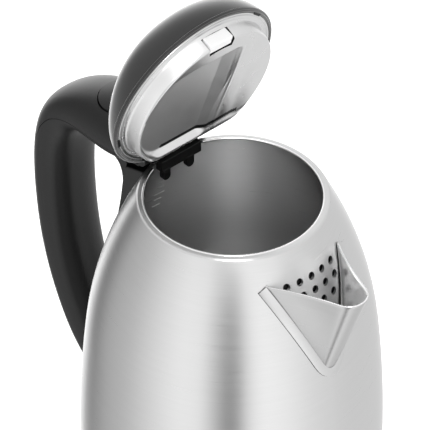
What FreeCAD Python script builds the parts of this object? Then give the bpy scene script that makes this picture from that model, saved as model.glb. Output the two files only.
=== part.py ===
"""A cordless electric kettle with its lid open, standing on its power base.

Frame: +Z up, +X towards the spout, origin on the table under the middle of the base.
All sizes are in millimetres.
"""
import FreeCAD, Part
import math
import os
import re
import Sketcher
from FreeCAD import Placement, Rotation, Vector

SIZES = {
    # power base
    "foot_height": 2.0,
    "foot_seat": 1.0,
    "foot_inset": 13.0,
    "foot_width": 8.0,
    "base_radius": 79.0,
    "base_height": 20.0,
    "base_wall": 2.5,
    "base_edge": 6.0,
    "floor_thickness": 3.0,
    "screw_radius": 1.5,
    "screw_head": 3.0,
    "screw_inset": 27.0,
    "boss_wall": 2.2,
    "gland_radius": 4.5,
    "gland_bore": 3.4,
    "gland_height": 10.0,
    "terminal_clear": 0.9,
    "terminal_length": 12.0,
    # electrical connector between base and jug
    "boss_radius": 19.0,
    "boss_height": 11.0,
    "slot_depth": 8.0,
    "ring_slot_inner": 12.0,
    "ring_slot_outer": 15.0,
    "sleeve_slot": 3.2,
    "contact_thickness": 0.7,
    "coupler_radius": 24.0,
    "coupler_flange": 27.0,
    "coupler_roof": 2.5,
    "blade_radius": 13.8,
    "blade_thickness": 0.9,
    "pin_radius": 1.9,
    "run_clear": 0.08,
    "loose_clear": 0.4,
    # bottom of the jug
    "skirt_height": 18.0,
    "skirt_proud": 0.8,
    "skirt_wall": 4.0,
    "skirt_edge": 2.0,
    "spigot_height": 5.0,
    "housing_floor": 2.5,
    "plate_height": 10.0,
    "plate_thickness": 1.5,
    "post_radius": 4.0,
    "post_inset": 14.6,
    "spreader_gap": 4.0,
    "spreader_thickness": 2.0,
    "element_radius": 42.0,
    "element_tube": 3.4,
    "control_radius": 22.0,
    "disc_radius": 9.0,
    "disc_thickness": 0.8,
    # steel body
    "steel_height": 178.0,
    "steel_wall": 1.0,
    "bottom_radius": 78.6,
    "waist_taper": 6.6,
    "waist_depth": 80.0,
    "shoulder_radius": 45.2,
    "rim_round": 1.2,
    "mouth_radius": 42.0,
    "notch_half": 15.4,
    "notch_radius": 43.6,
    "strainer_radius": 1.75,
    "strainer_pitch": 6.9,
    "strainer_step": 6.3,
    "strainer_depth": 15.0,
    # spout
    "spout_reach": 84.5,
    "spout_drop": 10.0,
    "spout_tilt": 4.0,
    "nose_radius": 8.5,
    "spout_depth": 63.0,
    "heel_inset": 3.7,
    "heel_radius": 5.3,
    "cheek_angle": 24.0,
    "heel_angle": 34.0,
    "spout_wall": 0.9,
    "flange_width": 5.0,
    "flange_rise": 0.7,
    # handle
    "arm_start": 56.0,
    "arm_rise": 17.5,
    "grip_reach": 143.8,
    "grip_depth": 26.0,
    "grip_width": 33.0,
    "handle_wall": 2.6,
    "handle_lift": 5.5,
    "seam_gap": 0.3,
    "root_half": 13.0,
    "tube_radius": 3.2,
    "tube_bore": 2.2,
    # lid release button
    "button_nose": 90.0,
    "button_back": 58.5,
    "button_half": 14.0,
    "button_thickness": 4.0,
    "button_proud": 0.5,
    "button_gap": 0.6,
    "button_travel": 2.5,
    "spring_radius": 3.0,
    "spring_length": 8.2,
    # power switch
    "lever_half": 8.0,
    "lever_thickness": 5.0,
    "lever_reach": 23.0,
    "lever_barrel": 4.0,
    "lever_swing": 14.0,
    "lever_pin": 1.5,
    # hinge
    "hinge_back": 44.5,
    "hinge_rise": 6.2,
    "hinge_pin_radius": 2.0,
    "ear_radius": 5.0,
    "ear_outer": 20.0,
    "ear_inner": 14.2,
    "knuckle_radius": 4.6,
    "spring_half": 5.0,
    "bracket_plate": 9.0,
    "plate_depth": 3.5,
    "plug_depth": 2.2,
    "prong_radius": 3.0,
    "prong_spread": 7.5,
    # lid
    "lid_angle": 73.5,
    "lid_gap": 0.4,
    "dome_radius": 46.6,
    "dome_height": 26.0,
    "dome_edge_round": 18.0,
    "dome_wall": 2.2,
    "dome_edge_clear": 0.6,
    "lid_screw_circle": 26.0,
    "pan_flange": 44.4,
    "pan_sheet": 0.8,
    "cup_radius": 40.4,
    "cup_foot": 39.2,
    "cup_depth": 8.0,
    "chord_back": 33.0,
    "recess_depth": 4.0,
    "recess_slope": 10.0,
    "recess_back": 24.0,
    "recess_front": 29.5,
    "recess_side": 14.0,
    "frame_radius": 44.0,
    "frame_thickness": 2.0,
    "bolt_reach": 40.3,
    "bolt_half": 7.0,
    "bolt_length": 7.0,
    "bolt_travel": 2.5,
}

doc = FreeCAD.newDocument("electric_kettle")
sheet = doc.addObject("Spreadsheet::Sheet", "sizes")
for row, (alias, number) in enumerate(SIZES.items(), start=1):
    sheet.set(f"A{row}", alias)
    sheet.set(f"B{row}", str(number))
    sheet.setAlias(f"B{row}", alias)
doc.recompute()

# Heights above the table that many pieces share
JUG_FOOT = "(base_height + lid_gap)"
SKIRT_TOP = "(base_height + skirt_height)"
PLATE_FOOT = "(base_height + skirt_height + plate_height)"
RIM = "(base_height + skirt_height + steel_height)"
HINGE_X = "(-hinge_back)"
HINGE_Z = f"({RIM} + hinge_rise)"
COUPLER_TOP = f"({JUG_FOOT} + boss_height + coupler_roof)"

# Radii that follow the body and the base
WAIST = "(bottom_radius - waist_taper)"
SKIRT = "(bottom_radius + skirt_proud)"
POST_CIRCLE = "(bottom_radius - post_inset)"
SCREW_CIRCLE = "(base_radius - screw_inset)"


def formula(text):
    """The text of an expression with each size read from the sheet."""
    def cell(word):
        return "sizes." + word[0] if word[0] in SIZES else word[0]
    return re.sub(r"[a-z_]+", cell, str(text))


def mm(text):
    """The number that an expression has now."""
    return float(sheet.evalExpression(formula(text)))


def bind(item, **sizes):
    for name, text in sizes.items():
        item.setExpression(name, formula(text))


def put(item, x=0, y=0, z=0):
    for axis, text in (("x", x), ("y", y), ("z", z)):
        item.setExpression("Placement.Base." + axis, formula(text))


def cylinder(name, radius, height, x=0, y=0, z=0, along=Vector(0, 0, 1)):
    rod = doc.addObject("Part::Cylinder", name)
    rod.Placement = Placement(Vector(), Rotation(Vector(0, 0, 1), along))
    bind(rod, Radius=radius, Height=height)
    put(rod, x, y, z)
    return rod


def cross_rod(name, radius, half, x, z):
    """A rod across the kettle, along Y, centred on the middle plane."""
    return cylinder(name, radius, f"2 * ({half})", x, f"-({half})", z, along=Vector(0, 1, 0))


def box(name, x, y, z):
    """A block between two expressions on each axis."""
    block = doc.addObject("Part::Box", name)
    bind(block, Length=f"({x[1]}) - ({x[0]})", Width=f"({y[1]}) - ({y[0]})", Height=f"({z[1]}) - ({z[0]})")
    put(block, x[0], y[0], z[0])
    return block


def fuse(name, *solids):
    joined = doc.addObject("Part::MultiFuse", name)
    joined.Shapes = list(solids)
    joined.Refine = True
    return joined


def cut(name, solid, *tools):
    rest = doc.addObject("Part::Cut", name)
    rest.Base = solid
    rest.Tool = tools[0] if len(tools) == 1 else fuse(name + "_tools", *tools)
    return rest


def common(name, solid, other):
    part = doc.addObject("Part::Common", name)
    part.Base = solid
    part.Tool = other
    return part


def group(name, solids):
    """Like solids that share one node."""
    bundle = doc.addObject("Part::Compound", name)
    bundle.Links = list(solids)
    return bundle


def solid_feature(name, shape):
    item = doc.addObject("Part::Feature", name)
    item.Shape = shape
    return item


def sketch_on(body, name, role):
    sketch = body.newObject("Sketcher::SketchObject", name)
    plane = next(item for item in body.Origin.OriginFeatures if item.Role == role)
    sketch.AttachmentSupport = [(plane, "")]
    sketch.MapMode = "FlatFace"
    return sketch


def pin_point(sketch, edge, end, across, up):
    """Tie a sketch point to expressions for its two coordinates."""
    for kind, text in (("DistanceX", across), ("DistanceY", up)):
        index = sketch.addConstraint(Sketcher.Constraint(kind, -1, 1, edge, end, mm(text)))
        sketch.setExpression(f"Constraints[{index}]", formula(text))


def draw_outline(sketch, corners):
    """A closed outline of straight edges through corners given as expressions."""
    points = [Vector(mm(across), mm(up), 0) for across, up in corners]
    first = sketch.GeometryCount
    count = len(points)
    for index, point in enumerate(points):
        sketch.addGeometry(Part.LineSegment(point, points[(index + 1) % count]), False)
    for index, (across, up) in enumerate(corners):
        following = first + (index + 1) % count
        sketch.addConstraint(Sketcher.Constraint("Coincident", first + index, 2, following, 1))
        pin_point(sketch, first + index, 1, across, up)


def draw_circle(sketch, across, up, radius):
    circle = Part.Circle(Vector(mm(across), mm(up), 0), Vector(0, 0, 1), mm(radius))
    edge = sketch.addGeometry(circle, False)
    pin_point(sketch, edge, 3, across, up)
    index = sketch.addConstraint(Sketcher.Constraint("Radius", edge, mm(radius)))
    sketch.setExpression(f"Constraints[{index}]", formula(radius))


def revolve(body, sketch):
    turn = body.newObject("PartDesign::Revolution", body.Name + "_turn")
    turn.Profile = sketch
    turn.ReferenceAxis = (sketch, ["V_Axis"])
    turn.Angle = 360
    doc.recompute()
    return turn


def turned(name, corners):
    """A body turned about Z from an outline of (radius, height) corners."""
    body = doc.addObject("PartDesign::Body", name)
    sketch = sketch_on(body, name + "_outline", "XZ_Plane")
    draw_outline(sketch, corners)
    revolve(body, sketch)
    return body


def round_edges(body, name, circles, radius):
    """Round the circular edges that lie at the given radii and heights."""
    wanted = [(mm(across), mm(up)) for across, up in circles]
    base = body.Tip
    names = []
    for index, edge in enumerate(base.Shape.Edges, start=1):
        if isinstance(edge.Curve, Part.Circle):
            here = (edge.Curve.Radius, edge.Curve.Center.z)
            if any(math.dist(here, place) < 0.01 for place in wanted):
                names.append(f"Edge{index}")
    fillet = body.newObject("PartDesign::Fillet", name)
    fillet.Base = (base, names)
    bind(fillet, Radius=radius)
    doc.recompute()
    return fillet


def pocket(body, name, sketch):
    """Cut a sketch right through, along its plane's normal."""
    before = body.Shape.Volume
    hole = body.newObject("PartDesign::Pocket", name)
    hole.Profile = sketch
    hole.Type = "ThroughAll"
    hole.Reversed = True
    doc.recompute()
    if not body.Shape.Volume < before:
        raise RuntimeError(name + " cuts nothing")
    return hole


def screws(name, circle, spots, head_foot, head_height, top):
    """Screws standing head down on a circle about Z, as one group."""
    solids = []
    for index, angle in enumerate(spots):
        x = f"({circle}) * cos({angle})"
        y = f"({circle}) * sin({angle})"
        head = cylinder(f"{name}_head{index}", "screw_head", head_height, x, y, head_foot)
        shank = cylinder(f"{name}_shank{index}", "screw_radius", f"({top}) - ({head_foot})", x, y, head_foot)
        solids.append(fuse(f"{name}_{index}", head, shank))
    return group(name, solids)


# Power base

FOOT_IN = "(base_radius - foot_inset - foot_width / 2)"
FOOT_OUT = "(base_radius - foot_inset + foot_width / 2)"
FLOOR_TOP = "(foot_height + floor_thickness)"
COVER_UNDER = "(base_height - base_wall)"
BASE_SPOTS = (60, 180, 300)

foot_ring = turned("foot_ring", [
    (FOOT_IN, 0),
    (FOOT_OUT, 0),
    (FOOT_OUT, "foot_height + foot_seat"),
    (FOOT_IN, "foot_height + foot_seat"),
])

bottom_cover_disc = turned("bottom_cover_disc", [
    (0, "foot_height"),
    (f"{FOOT_IN} - run_clear", "foot_height"),
    (f"{FOOT_IN} - run_clear", "foot_height + foot_seat"),
    (f"{FOOT_OUT} + run_clear", "foot_height + foot_seat"),
    (f"{FOOT_OUT} + run_clear", "foot_height"),
    ("base_radius - base_wall - loose_clear", "foot_height"),
    ("base_radius - base_wall - loose_clear", FLOOR_TOP),
    (0, FLOOR_TOP),
])

top_cover_shell = turned("top_cover_shell", [
    ("boss_radius + run_clear", COVER_UNDER),
    ("boss_radius + run_clear", "base_height"),
    ("base_radius - base_edge", "base_height"),
    ("base_radius", "base_height - base_edge"),
    ("base_radius", "foot_height"),
    ("base_radius - base_wall", "foot_height"),
    ("base_radius - base_wall", "base_height - base_edge"),
    ("base_radius - base_edge", COVER_UNDER),
])
round_edges(top_cover_shell, "top_cover_edge",
            [("base_radius - base_edge", "base_height"), ("base_radius", "base_height - base_edge")], "base_edge")

cover_bosses = []
screw_ways = []
for spot in BASE_SPOTS:
    spot_x = f"{SCREW_CIRCLE} * cos({spot})"
    spot_y = f"{SCREW_CIRCLE} * sin({spot})"
    cover_bosses.append(cylinder(f"cover_boss{spot}", "screw_radius + boss_wall",
                                 f"base_height - base_wall / 2 - {FLOOR_TOP}", spot_x, spot_y, FLOOR_TOP))
    screw_ways.append(cylinder(f"screw_way{spot}", "screw_radius + run_clear", COVER_UNDER, spot_x, spot_y))
head_ways = [cylinder(f"head_way{spot}", "screw_head + run_clear", "foot_height + foot_seat + run_clear",
                      f"{SCREW_CIRCLE} * cos({spot})", f"{SCREW_CIRCLE} * sin({spot})") for spot in BASE_SPOTS]

gland_way = cylinder("gland_way", "gland_radius + run_clear", "base_wall * 4",
                     "-base_radius - base_wall", 0, "gland_height", along=Vector(1, 0, 0))
base_bottom_cover = cut("base_bottom_cover", bottom_cover_disc, *screw_ways, *head_ways)
base_top_cover = cut("base_top_cover", fuse("bossed_cover", top_cover_shell, *cover_bosses), gland_way, *screw_ways)
base_screws = screws("base_screws", SCREW_CIRCLE, BASE_SPOTS, "foot_height + run_clear", "foot_seat",
                     f"{COVER_UNDER} - loose_clear")

# The bush that the cord enters by, in the back of the base
gland_bush = cylinder("gland_bush", "gland_radius", "base_wall * 4", "-base_radius - base_wall", 0, "gland_height",
                      along=Vector(1, 0, 0))
gland_lip = cylinder("gland_lip", "gland_radius + base_wall / 2", "base_wall - run_clear",
                     "-base_radius - base_wall", 0, "gland_height", along=Vector(1, 0, 0))
gland_hole = cylinder("gland_hole", "gland_bore", "base_wall * 6", "-base_radius - base_wall * 2", 0, "gland_height",
                      along=Vector(1, 0, 0))
cord_grommet = cut("cord_grommet", fuse("gland_body", gland_bush, gland_lip), gland_hole)

TERMINAL_BACK = f"({SCREW_CIRCLE} - screw_radius - boss_wall - terminal_clear)"
terminal_block = box("terminal_block", (f"-{TERMINAL_BACK}", f"-{TERMINAL_BACK} + terminal_length"),
                     ("-foot_width", "foot_width"),
                     (FLOOR_TOP, f"{FLOOR_TOP} + foot_width"))

SLOT_FOOT = "(base_height + boss_height - slot_depth)"
BOSS_TOP = "(base_height + boss_height)"
base_connector = turned("base_connector", [
    (0, FLOOR_TOP),
    ("boss_radius + base_wall * 2", FLOOR_TOP),
    ("boss_radius + base_wall * 2", COVER_UNDER),
    ("boss_radius", COVER_UNDER),
    ("boss_radius", BOSS_TOP),
    ("ring_slot_outer", BOSS_TOP),
    ("ring_slot_outer", SLOT_FOOT),
    ("ring_slot_inner", SLOT_FOOT),
    ("ring_slot_inner", BOSS_TOP),
    ("sleeve_slot", BOSS_TOP),
    ("sleeve_slot", SLOT_FOOT),
    (0, SLOT_FOOT),
])
contact_ring = turned("contact_ring", [
    ("ring_slot_inner", SLOT_FOOT),
    ("ring_slot_inner + contact_thickness", SLOT_FOOT),
    ("ring_slot_inner + contact_thickness", f"{BOSS_TOP} - contact_thickness"),
    ("ring_slot_inner", f"{BOSS_TOP} - contact_thickness"),
])
contact_sleeve = turned("contact_sleeve", [
    ("sleeve_slot - contact_thickness", SLOT_FOOT),
    ("sleeve_slot", SLOT_FOOT),
    ("sleeve_slot", f"{BOSS_TOP} - contact_thickness"),
    ("sleeve_slot - contact_thickness", f"{BOSS_TOP} - contact_thickness"),
])

# Coupler under the jug: a socket that drops over the connector of the base

SOCKET_ROOF = f"({BOSS_TOP} + lid_gap)"
coupler_socket = turned("coupler_socket", [
    ("boss_radius + loose_clear", JUG_FOOT),
    ("coupler_radius", JUG_FOOT),
    ("coupler_radius", f"{JUG_FOOT} + housing_floor + run_clear"),
    ("coupler_flange", f"{JUG_FOOT} + housing_floor + run_clear"),
    ("coupler_flange", COUPLER_TOP),
    (0, COUPLER_TOP),
    (0, SOCKET_ROOF),
    ("boss_radius + loose_clear", SOCKET_ROOF),
])
coupler_pin = cylinder("coupler_pin", "pin_radius", "slot_depth - contact_thickness", 0, 0,
                       f"{SOCKET_ROOF} - slot_depth + contact_thickness")
coupler_blade = turned("coupler_blade", [
    ("blade_radius", f"{SOCKET_ROOF} - slot_depth + contact_thickness"),
    ("blade_radius + blade_thickness", f"{SOCKET_ROOF} - slot_depth + contact_thickness"),
    ("blade_radius + blade_thickness", SOCKET_ROOF),
    ("blade_radius", SOCKET_ROOF),
])

# Bottom of the jug

STEEL_IN = "(bottom_radius - steel_wall)"
POST_SPOTS = (30, 150, 270)
housing_ring = turned("housing_ring", [
    ("coupler_radius + run_clear", JUG_FOOT),
    (f"{SKIRT} - skirt_edge", JUG_FOOT),
    (SKIRT, f"{JUG_FOOT} + skirt_edge"),
    (SKIRT, SKIRT_TOP),
    (f"{STEEL_IN} - run_clear * 2", SKIRT_TOP),
    (f"{STEEL_IN} - run_clear * 2", f"{SKIRT_TOP} + spigot_height"),
    (f"{SKIRT} - skirt_wall", f"{SKIRT_TOP} + spigot_height"),
    (f"{SKIRT} - skirt_wall", f"{JUG_FOOT} + housing_floor"),
    ("coupler_radius + run_clear", f"{JUG_FOOT} + housing_floor"),
])
post_ways = []
for spot in POST_SPOTS:
    spot_x = f"{POST_CIRCLE} * cos({spot})"
    spot_y = f"{POST_CIRCLE} * sin({spot})"
    post_ways.append(cylinder(f"post_way{spot}", "screw_radius + run_clear", SKIRT_TOP, spot_x, spot_y))
    post_ways.append(cylinder(f"post_head_way{spot}", "screw_head + run_clear", f"{JUG_FOOT} + foot_seat + run_clear",
                              spot_x, spot_y))
bottom_housing = cut("bottom_housing", housing_ring, *post_ways)
bottom_screws = screws("bottom_screws", POST_CIRCLE, POST_SPOTS, f"{JUG_FOOT} + run_clear", "foot_seat",
                       f"{SKIRT_TOP} - loose_clear")

plate_disc = cylinder("plate_disc", f"{STEEL_IN} - run_clear * 2", "plate_thickness", 0, 0, PLATE_FOOT)
posts = [cylinder(f"post{spot}", "post_radius", f"{PLATE_FOOT} + plate_thickness / 2 - {JUG_FOOT} - housing_floor",
                  f"{POST_CIRCLE} * cos({spot})", f"{POST_CIRCLE} * sin({spot})", f"{JUG_FOOT} + housing_floor")
         for spot in POST_SPOTS]
heater_plate = cut("heater_plate", fuse("posted_plate", plate_disc, *posts), *post_ways)

SPREADER_FOOT = f"({PLATE_FOOT} - spreader_thickness)"
heat_spreader = cylinder("heat_spreader", f"{POST_CIRCLE} - post_radius - spreader_gap", "spreader_thickness", 0, 0,
                         SPREADER_FOOT)

element_loop = doc.addObject("Part::Torus", "element_loop")
bind(element_loop, Radius1="element_radius", Radius2="element_tube")
element_loop.Angle3 = 310
put(element_loop, z=f"{SPREADER_FOOT} - element_tube * 0.9")
element_flat = box("element_flat", ("-base_radius", "base_radius"), ("-base_radius", "base_radius"),
                   (SPREADER_FOOT, PLATE_FOOT))
heating_element = cut("heating_element", element_loop, element_flat)

CONTROL_FOOT = f"({COUPLER_TOP} + loose_clear)"
control_unit = turned("control_unit", [
    (0, CONTROL_FOOT),
    ("control_radius", CONTROL_FOOT),
    ("control_radius", SPREADER_FOOT),
    ("disc_radius", SPREADER_FOOT),
    ("disc_radius", f"{SPREADER_FOOT} - disc_thickness"),
    (0, f"{SPREADER_FOOT} - disc_thickness"),
])
boil_dry_disc = cylinder("boil_dry_disc", "disc_radius - run_clear", "disc_thickness", 0, 0,
                         f"{SPREADER_FOOT} - disc_thickness")

# Steel body: two tangent arcs from the upright foot through the waist to the shoulder


def draw_wall(sketch, inset):
    """Half of the body's upright section, with its side moved in by inset."""
    radii = [f"{size} - {inset}" for size in ("bottom_radius", WAIST, "shoulder_radius")]
    heights = [SKIRT_TOP, f"{RIM} - waist_depth", f"{RIM} - {inset}"]
    foot, waist, shoulder = [Vector(mm(radius), mm(height), 0) for radius, height in zip(radii, heights)]
    lower_radius = (waist - foot).Length ** 2 / (2 * (foot.x - waist.x))
    waist_turn = math.asin((waist.y - foot.y) / lower_radius)
    chord = shoulder - waist
    shoulder_turn = 2 * math.atan2(-chord.x, chord.y) - waist_turn
    upper_radius = chord.Length / (2 * math.sin((shoulder_turn - waist_turn) / 2))
    upper_centre = waist - Vector(math.cos(waist_turn), math.sin(waist_turn), 0) * upper_radius
    lower_circle = Part.Circle(foot - Vector(lower_radius, 0, 0), Vector(0, 0, 1), lower_radius)
    upper_circle = Part.Circle(upper_centre, Vector(0, 0, 1), upper_radius)
    sketch.addGeometry(Part.LineSegment(Vector(0, foot.y, 0), foot), False)
    sketch.addGeometry(Part.ArcOfCircle(lower_circle, 0, waist_turn), False)
    sketch.addGeometry(Part.ArcOfCircle(upper_circle, waist_turn, shoulder_turn), False)
    sketch.addGeometry(Part.LineSegment(shoulder, Vector(0, shoulder.y, 0)), False)
    sketch.addGeometry(Part.LineSegment(Vector(0, shoulder.y, 0), Vector(0, foot.y, 0)), False)
    for edge, following in ((0, 1), (2, 3), (3, 4), (4, 0)):
        sketch.addConstraint(Sketcher.Constraint("Coincident", edge, 2, following, 1))
    sketch.addConstraint(Sketcher.Constraint("Tangent", 1, 2, 2, 1))
    pin_point(sketch, 0, 1, 0, heights[0])
    for edge, radius, height in zip((1, 2, 3), radii, heights):
        pin_point(sketch, edge, 1, radius, height)
    pin_point(sketch, 4, 1, 0, heights[2])
    sketch.addConstraint(Sketcher.Constraint("Horizontal", 1, 3, 1, 1))


body_sheet = doc.addObject("PartDesign::Body", "body_sheet")
wall_line = sketch_on(body_sheet, "wall_line", "XZ_Plane")
draw_wall(wall_line, 0)
body_solid = revolve(body_sheet, wall_line)
round_edges(body_sheet, "rim_edge", [("shoulder_radius", RIM)], "rim_round")

inside_line = sketch_on(body_sheet, "inside_line", "XZ_Plane")
draw_wall(inside_line, "steel_wall")
inside = body_sheet.newObject("PartDesign::Groove", "inside")
inside.Profile = inside_line
inside.ReferenceAxis = (inside_line, ["V_Axis"])
inside.Angle = 360
doc.recompute()

mouth = sketch_on(body_sheet, "mouth", "XY_Plane")
draw_circle(mouth, 0, 0, "mouth_radius")
pocket(body_sheet, "mouth_hole", mouth)

strainer = sketch_on(body_sheet, "strainer", "YZ_Plane")
for row, count in enumerate((5, 5, 4, 3, 2, 1)):
    for place in range(count):
        draw_circle(strainer, f"strainer_pitch * {place - (count - 1) / 2}",
                    f"{RIM} - strainer_depth - strainer_step * {row}", "strainer_radius")
pocket(body_sheet, "strainer_holes", strainer)

# The ledge of the rim is cut away behind the mouth, where the hinge bracket passes down
notch_disc = cylinder("notch_disc", "notch_radius", "bracket_plate", 0, 0, f"{RIM} - bracket_plate / 2")
notch_block = box("notch_block", ("-shoulder_radius", "-mouth_radius / 2"), ("-notch_half", "notch_half"),
                  (f"{RIM} - bracket_plate / 2", f"{RIM} + bracket_plate / 2"))
body_shell = cut("body_shell", body_sheet, common("hinge_notch", notch_disc, notch_block))

# Spout: a folded beak with flat cheeks and a round nose, welded round a raised flange


def beak(inset, top_extra=0.0, bottom_extra=0.0):
    """The beak's solid, shrunk by inset, from above its lip down to its heel."""
    levels = []
    for level in (-top_extra, mm("spout_depth - spout_drop") + bottom_extra):
        share = level / mm("spout_depth - spout_drop")
        radius = mm("nose_radius") + (mm("heel_radius") - mm("nose_radius")) * share
        reach = mm("spout_reach") + (mm(f"{WAIST} - heel_inset") - mm("spout_reach")) * share
        angle = math.radians(mm("cheek_angle") + (mm("heel_angle") - mm("cheek_angle")) * share)
        height = mm(RIM) - mm("spout_drop") - level
        centre = Vector(reach - radius, 0, height)
        side = Vector(math.sin(angle), math.cos(angle), 0) * (radius - inset)
        back = Vector(math.cos(angle), -math.sin(angle), 0) * mm("spout_reach - shoulder_radius")
        near = centre + side
        far = centre + Vector(side.x, -side.y, 0)
        near_end = near - back
        far_end = far - Vector(back.x, -back.y, 0)
        nose = centre + Vector(radius - inset, 0, 0)
        levels.append(Part.Wire([
            Part.makeLine(far_end, far),
            Part.Arc(far, nose, near).toShape(),
            Part.makeLine(near, near_end),
            Part.makeLine(near_end, far_end),
        ]))
    return Part.makeLoft(levels, True, True)


body_room = body_solid.Shape.copy()
lip_plane = Placement(Vector(mm("shoulder_radius"), 0, mm(f"{RIM} - spout_drop - spout_tilt / 2")),
                      Rotation(Vector(0, 1, 0), -mm("spout_tilt")))
lip_span = 2 * mm("spout_reach")
above_lip = Part.makeBox(lip_span, lip_span, mm("spout_depth"), Vector(-lip_span / 2, -lip_span / 2, 0))
above_lip.Placement = lip_plane
beak_sheet = beak(0, mm("spout_drop")).cut(beak(mm("spout_wall"), 2 * mm("spout_drop"), mm("spout_wall")))
beak_sheet = beak_sheet.cut(above_lip).cut(body_room)
flange_skin = body_room.makeOffsetShape(mm("flange_rise"), 0.001).cut(body_room)
flange_band = beak(-mm("flange_width"), 0, mm("flange_width")).cut(beak(mm("spout_wall"), mm("spout_drop"), 0))
flange_band = flange_skin.common(flange_band).cut(above_lip)
JOIN_TOLERANCE = 0.01
spout_beak = solid_feature("spout_beak", beak_sheet.fuse([flange_band], JOIN_TOLERANCE).removeSplitter())

# Handle: a loop lofted through sections, each from its outer face inwards.
# Each row is the share of the reach, the share of the drop, the lean of the section from straight down,
# its depth and width against the grip's, and the place of the seam across its depth.

ARM_SECTIONS = (
    (0.000, 0.002, 0, 1.12, 1.22, 0.34),
    (0.182, 0.000, 0, 1.26, 1.22, 0.34),
    (0.387, 0.017, 3, 1.16, 1.16, 0.34),
    (0.592, 0.055, 17, 0.95, 1.09, 0.40),
    (0.786, 0.115, 42, 0.91, 1.05, 0.52),
    (0.923, 0.209, 64, 0.96, 1.02, 0.66),
    (0.991, 0.334, 81, 1.00, 1.00, 0.74),
)
GRIP_SECTIONS = (
    (1.000, 0.469, 90, 1.00, 1.00, 0.75),
    (0.964, 0.599, 97, 0.99, 1.00, 0.75),
    (0.878, 0.719, 106, 0.98, 0.99, 0.75),
    (0.738, 0.834, 116, 0.97, 0.97, 0.75),
    (0.536, 0.930, 128, 0.92, 0.94, 0.75),
    (0.271, 0.988, 152, 0.81, 0.91, 0.75),
    (0.000, 1.000, 180, 0.73, 0.88, 0.75),
)
SQUARENESS = 2.3
HANDLE_FOOT = f"({JUG_FOOT} + handle_lift)"
handle_drop = mm(f"{RIM} + arm_rise - {HANDLE_FOOT}")


def handle_sections():
    """Centre, inward direction, half depth, half width and seam height of every section."""
    rows = []
    for start, sections in (("arm_start", ARM_SECTIONS), ("bottom_radius + run_clear", GRIP_SECTIONS)):
        for run, drop, lean, depth, width, seam in sections:
            outer = Vector(-mm(start) - (mm("grip_reach") - mm(start)) * run, 0,
                           mm(f"{RIM} + arm_rise") - handle_drop * drop)
            inward = Vector(math.sin(math.radians(lean)), 0, -math.cos(math.radians(lean)))
            half_depth = depth * mm("grip_depth") / 2
            rows.append((outer + inward * half_depth, inward, half_depth, width * mm("grip_width") / 2,
                         half_depth * (1 - 2 * seam)))
    return rows


def oval_half(centre, inward, depth, width, side):
    """Half of a rounded section: side -1 is the outer half, 1 the inner."""
    points = []
    for step in range(13):
        turn = math.pi * step / 12
        deep = math.sin(turn) ** (2 / SQUARENESS) * depth * side if 0 < step < 12 else 0.0
        wide = math.copysign(abs(math.cos(turn)) ** (2 / SQUARENESS), math.cos(turn)) * width
        points.append(centre + inward * deep + Vector(0, wide, 0))
    curve = Part.BSplineCurve()
    curve.interpolate(points)
    return curve.toShape()


def handle_solid(grow):
    """The whole handle as one solid, grown by grow all round."""
    wires = []
    for centre, inward, depth, width, seam in handle_sections():
        halves = [oval_half(centre, inward, depth + grow, width + grow, side) for side in (-1, 1)]
        wires.append(Part.Wire(halves))
    return Part.makeLoft(wires, True, False)


def seam_side(level):
    """The room on the outer side of the seam, whose face is moved inwards by level."""
    wires = []
    for centre, inward, depth, width, seam in handle_sections():
        spots = ((seam + level, -2), (seam + level, 2), (-2 * depth, 2), (-2 * depth, -2))
        corners = [centre + inward * deep + Vector(0, wide * width, 0) for deep, wide in spots]
        wires.append(Part.makePolygon(corners + corners[:1]))
    return Part.makeLoft(wires, True, False)


def tube_solid(radius):
    """A round rod lying along the inside of the inner half."""
    wires = []
    for centre, inward, depth, width, seam in handle_sections()[2:-4]:
        middle = centre + inward * (depth - mm("handle_wall + tube_radius + loose_clear"))
        wires.append(Part.Wire(Part.makeCircle(radius, middle, inward.cross(Vector(0, 1, 0)))))
    return Part.makeLoft(wires, True, False)


body_clear = body_room.makeOffsetShape(mm("run_clear"), 0.001)
foot_clear = Part.makeCylinder(mm(f"{SKIRT} + run_clear"), mm(f"{SKIRT_TOP} + run_clear"))
arm_room = handle_solid(mm("run_clear"))


def tongue(grow):
    """The outline of the release button in plan, as an upright prism."""
    half = mm("button_half") + grow
    nose = -mm("button_nose") - grow
    back = -mm("button_back") + grow
    shoulder_x = nose + half
    face = Part.Face(Part.Wire([
        Part.makeLine(Vector(back, -half, 0), Vector(shoulder_x, -half, 0)),
        Part.Arc(Vector(shoulder_x, -half, 0), Vector(nose, 0, 0), Vector(shoulder_x, half, 0)).toShape(),
        Part.makeLine(Vector(shoulder_x, half, 0), Vector(back, half, 0)),
        Part.makeLine(Vector(back, half, 0), Vector(back, -half, 0)),
    ]))
    face.translate(Vector(0, 0, mm(RIM)))
    return face.extrude(Vector(0, 0, 2 * mm("arm_rise")))


button_shape = handle_solid(mm("button_proud")).cut(handle_solid(-mm("button_thickness"))).common(tongue(0))
lid_release_button = solid_feature("lid_release_button", button_shape)

LEVER_LEAN = 40.0
lever_axis = (handle_sections()[-3][0] + handle_sections()[-2][0]) * 0.5
lever_pose = Placement(lever_axis, Rotation(Vector(0, 1, 0), 180 + LEVER_LEAN))

slot_half = mm("lever_half + button_gap")
slot_thick = mm("lever_thickness + 2 * button_gap")
lever_slot = Part.makeBox(slot_thick + mm("lever_reach * sin(lever_swing)"), 2 * slot_half, mm("lever_reach"),
                          Vector(-slot_thick / 2 - mm("lever_reach * sin(lever_swing)"), -slot_half, 0))
lever_slot.Placement = lever_pose

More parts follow.
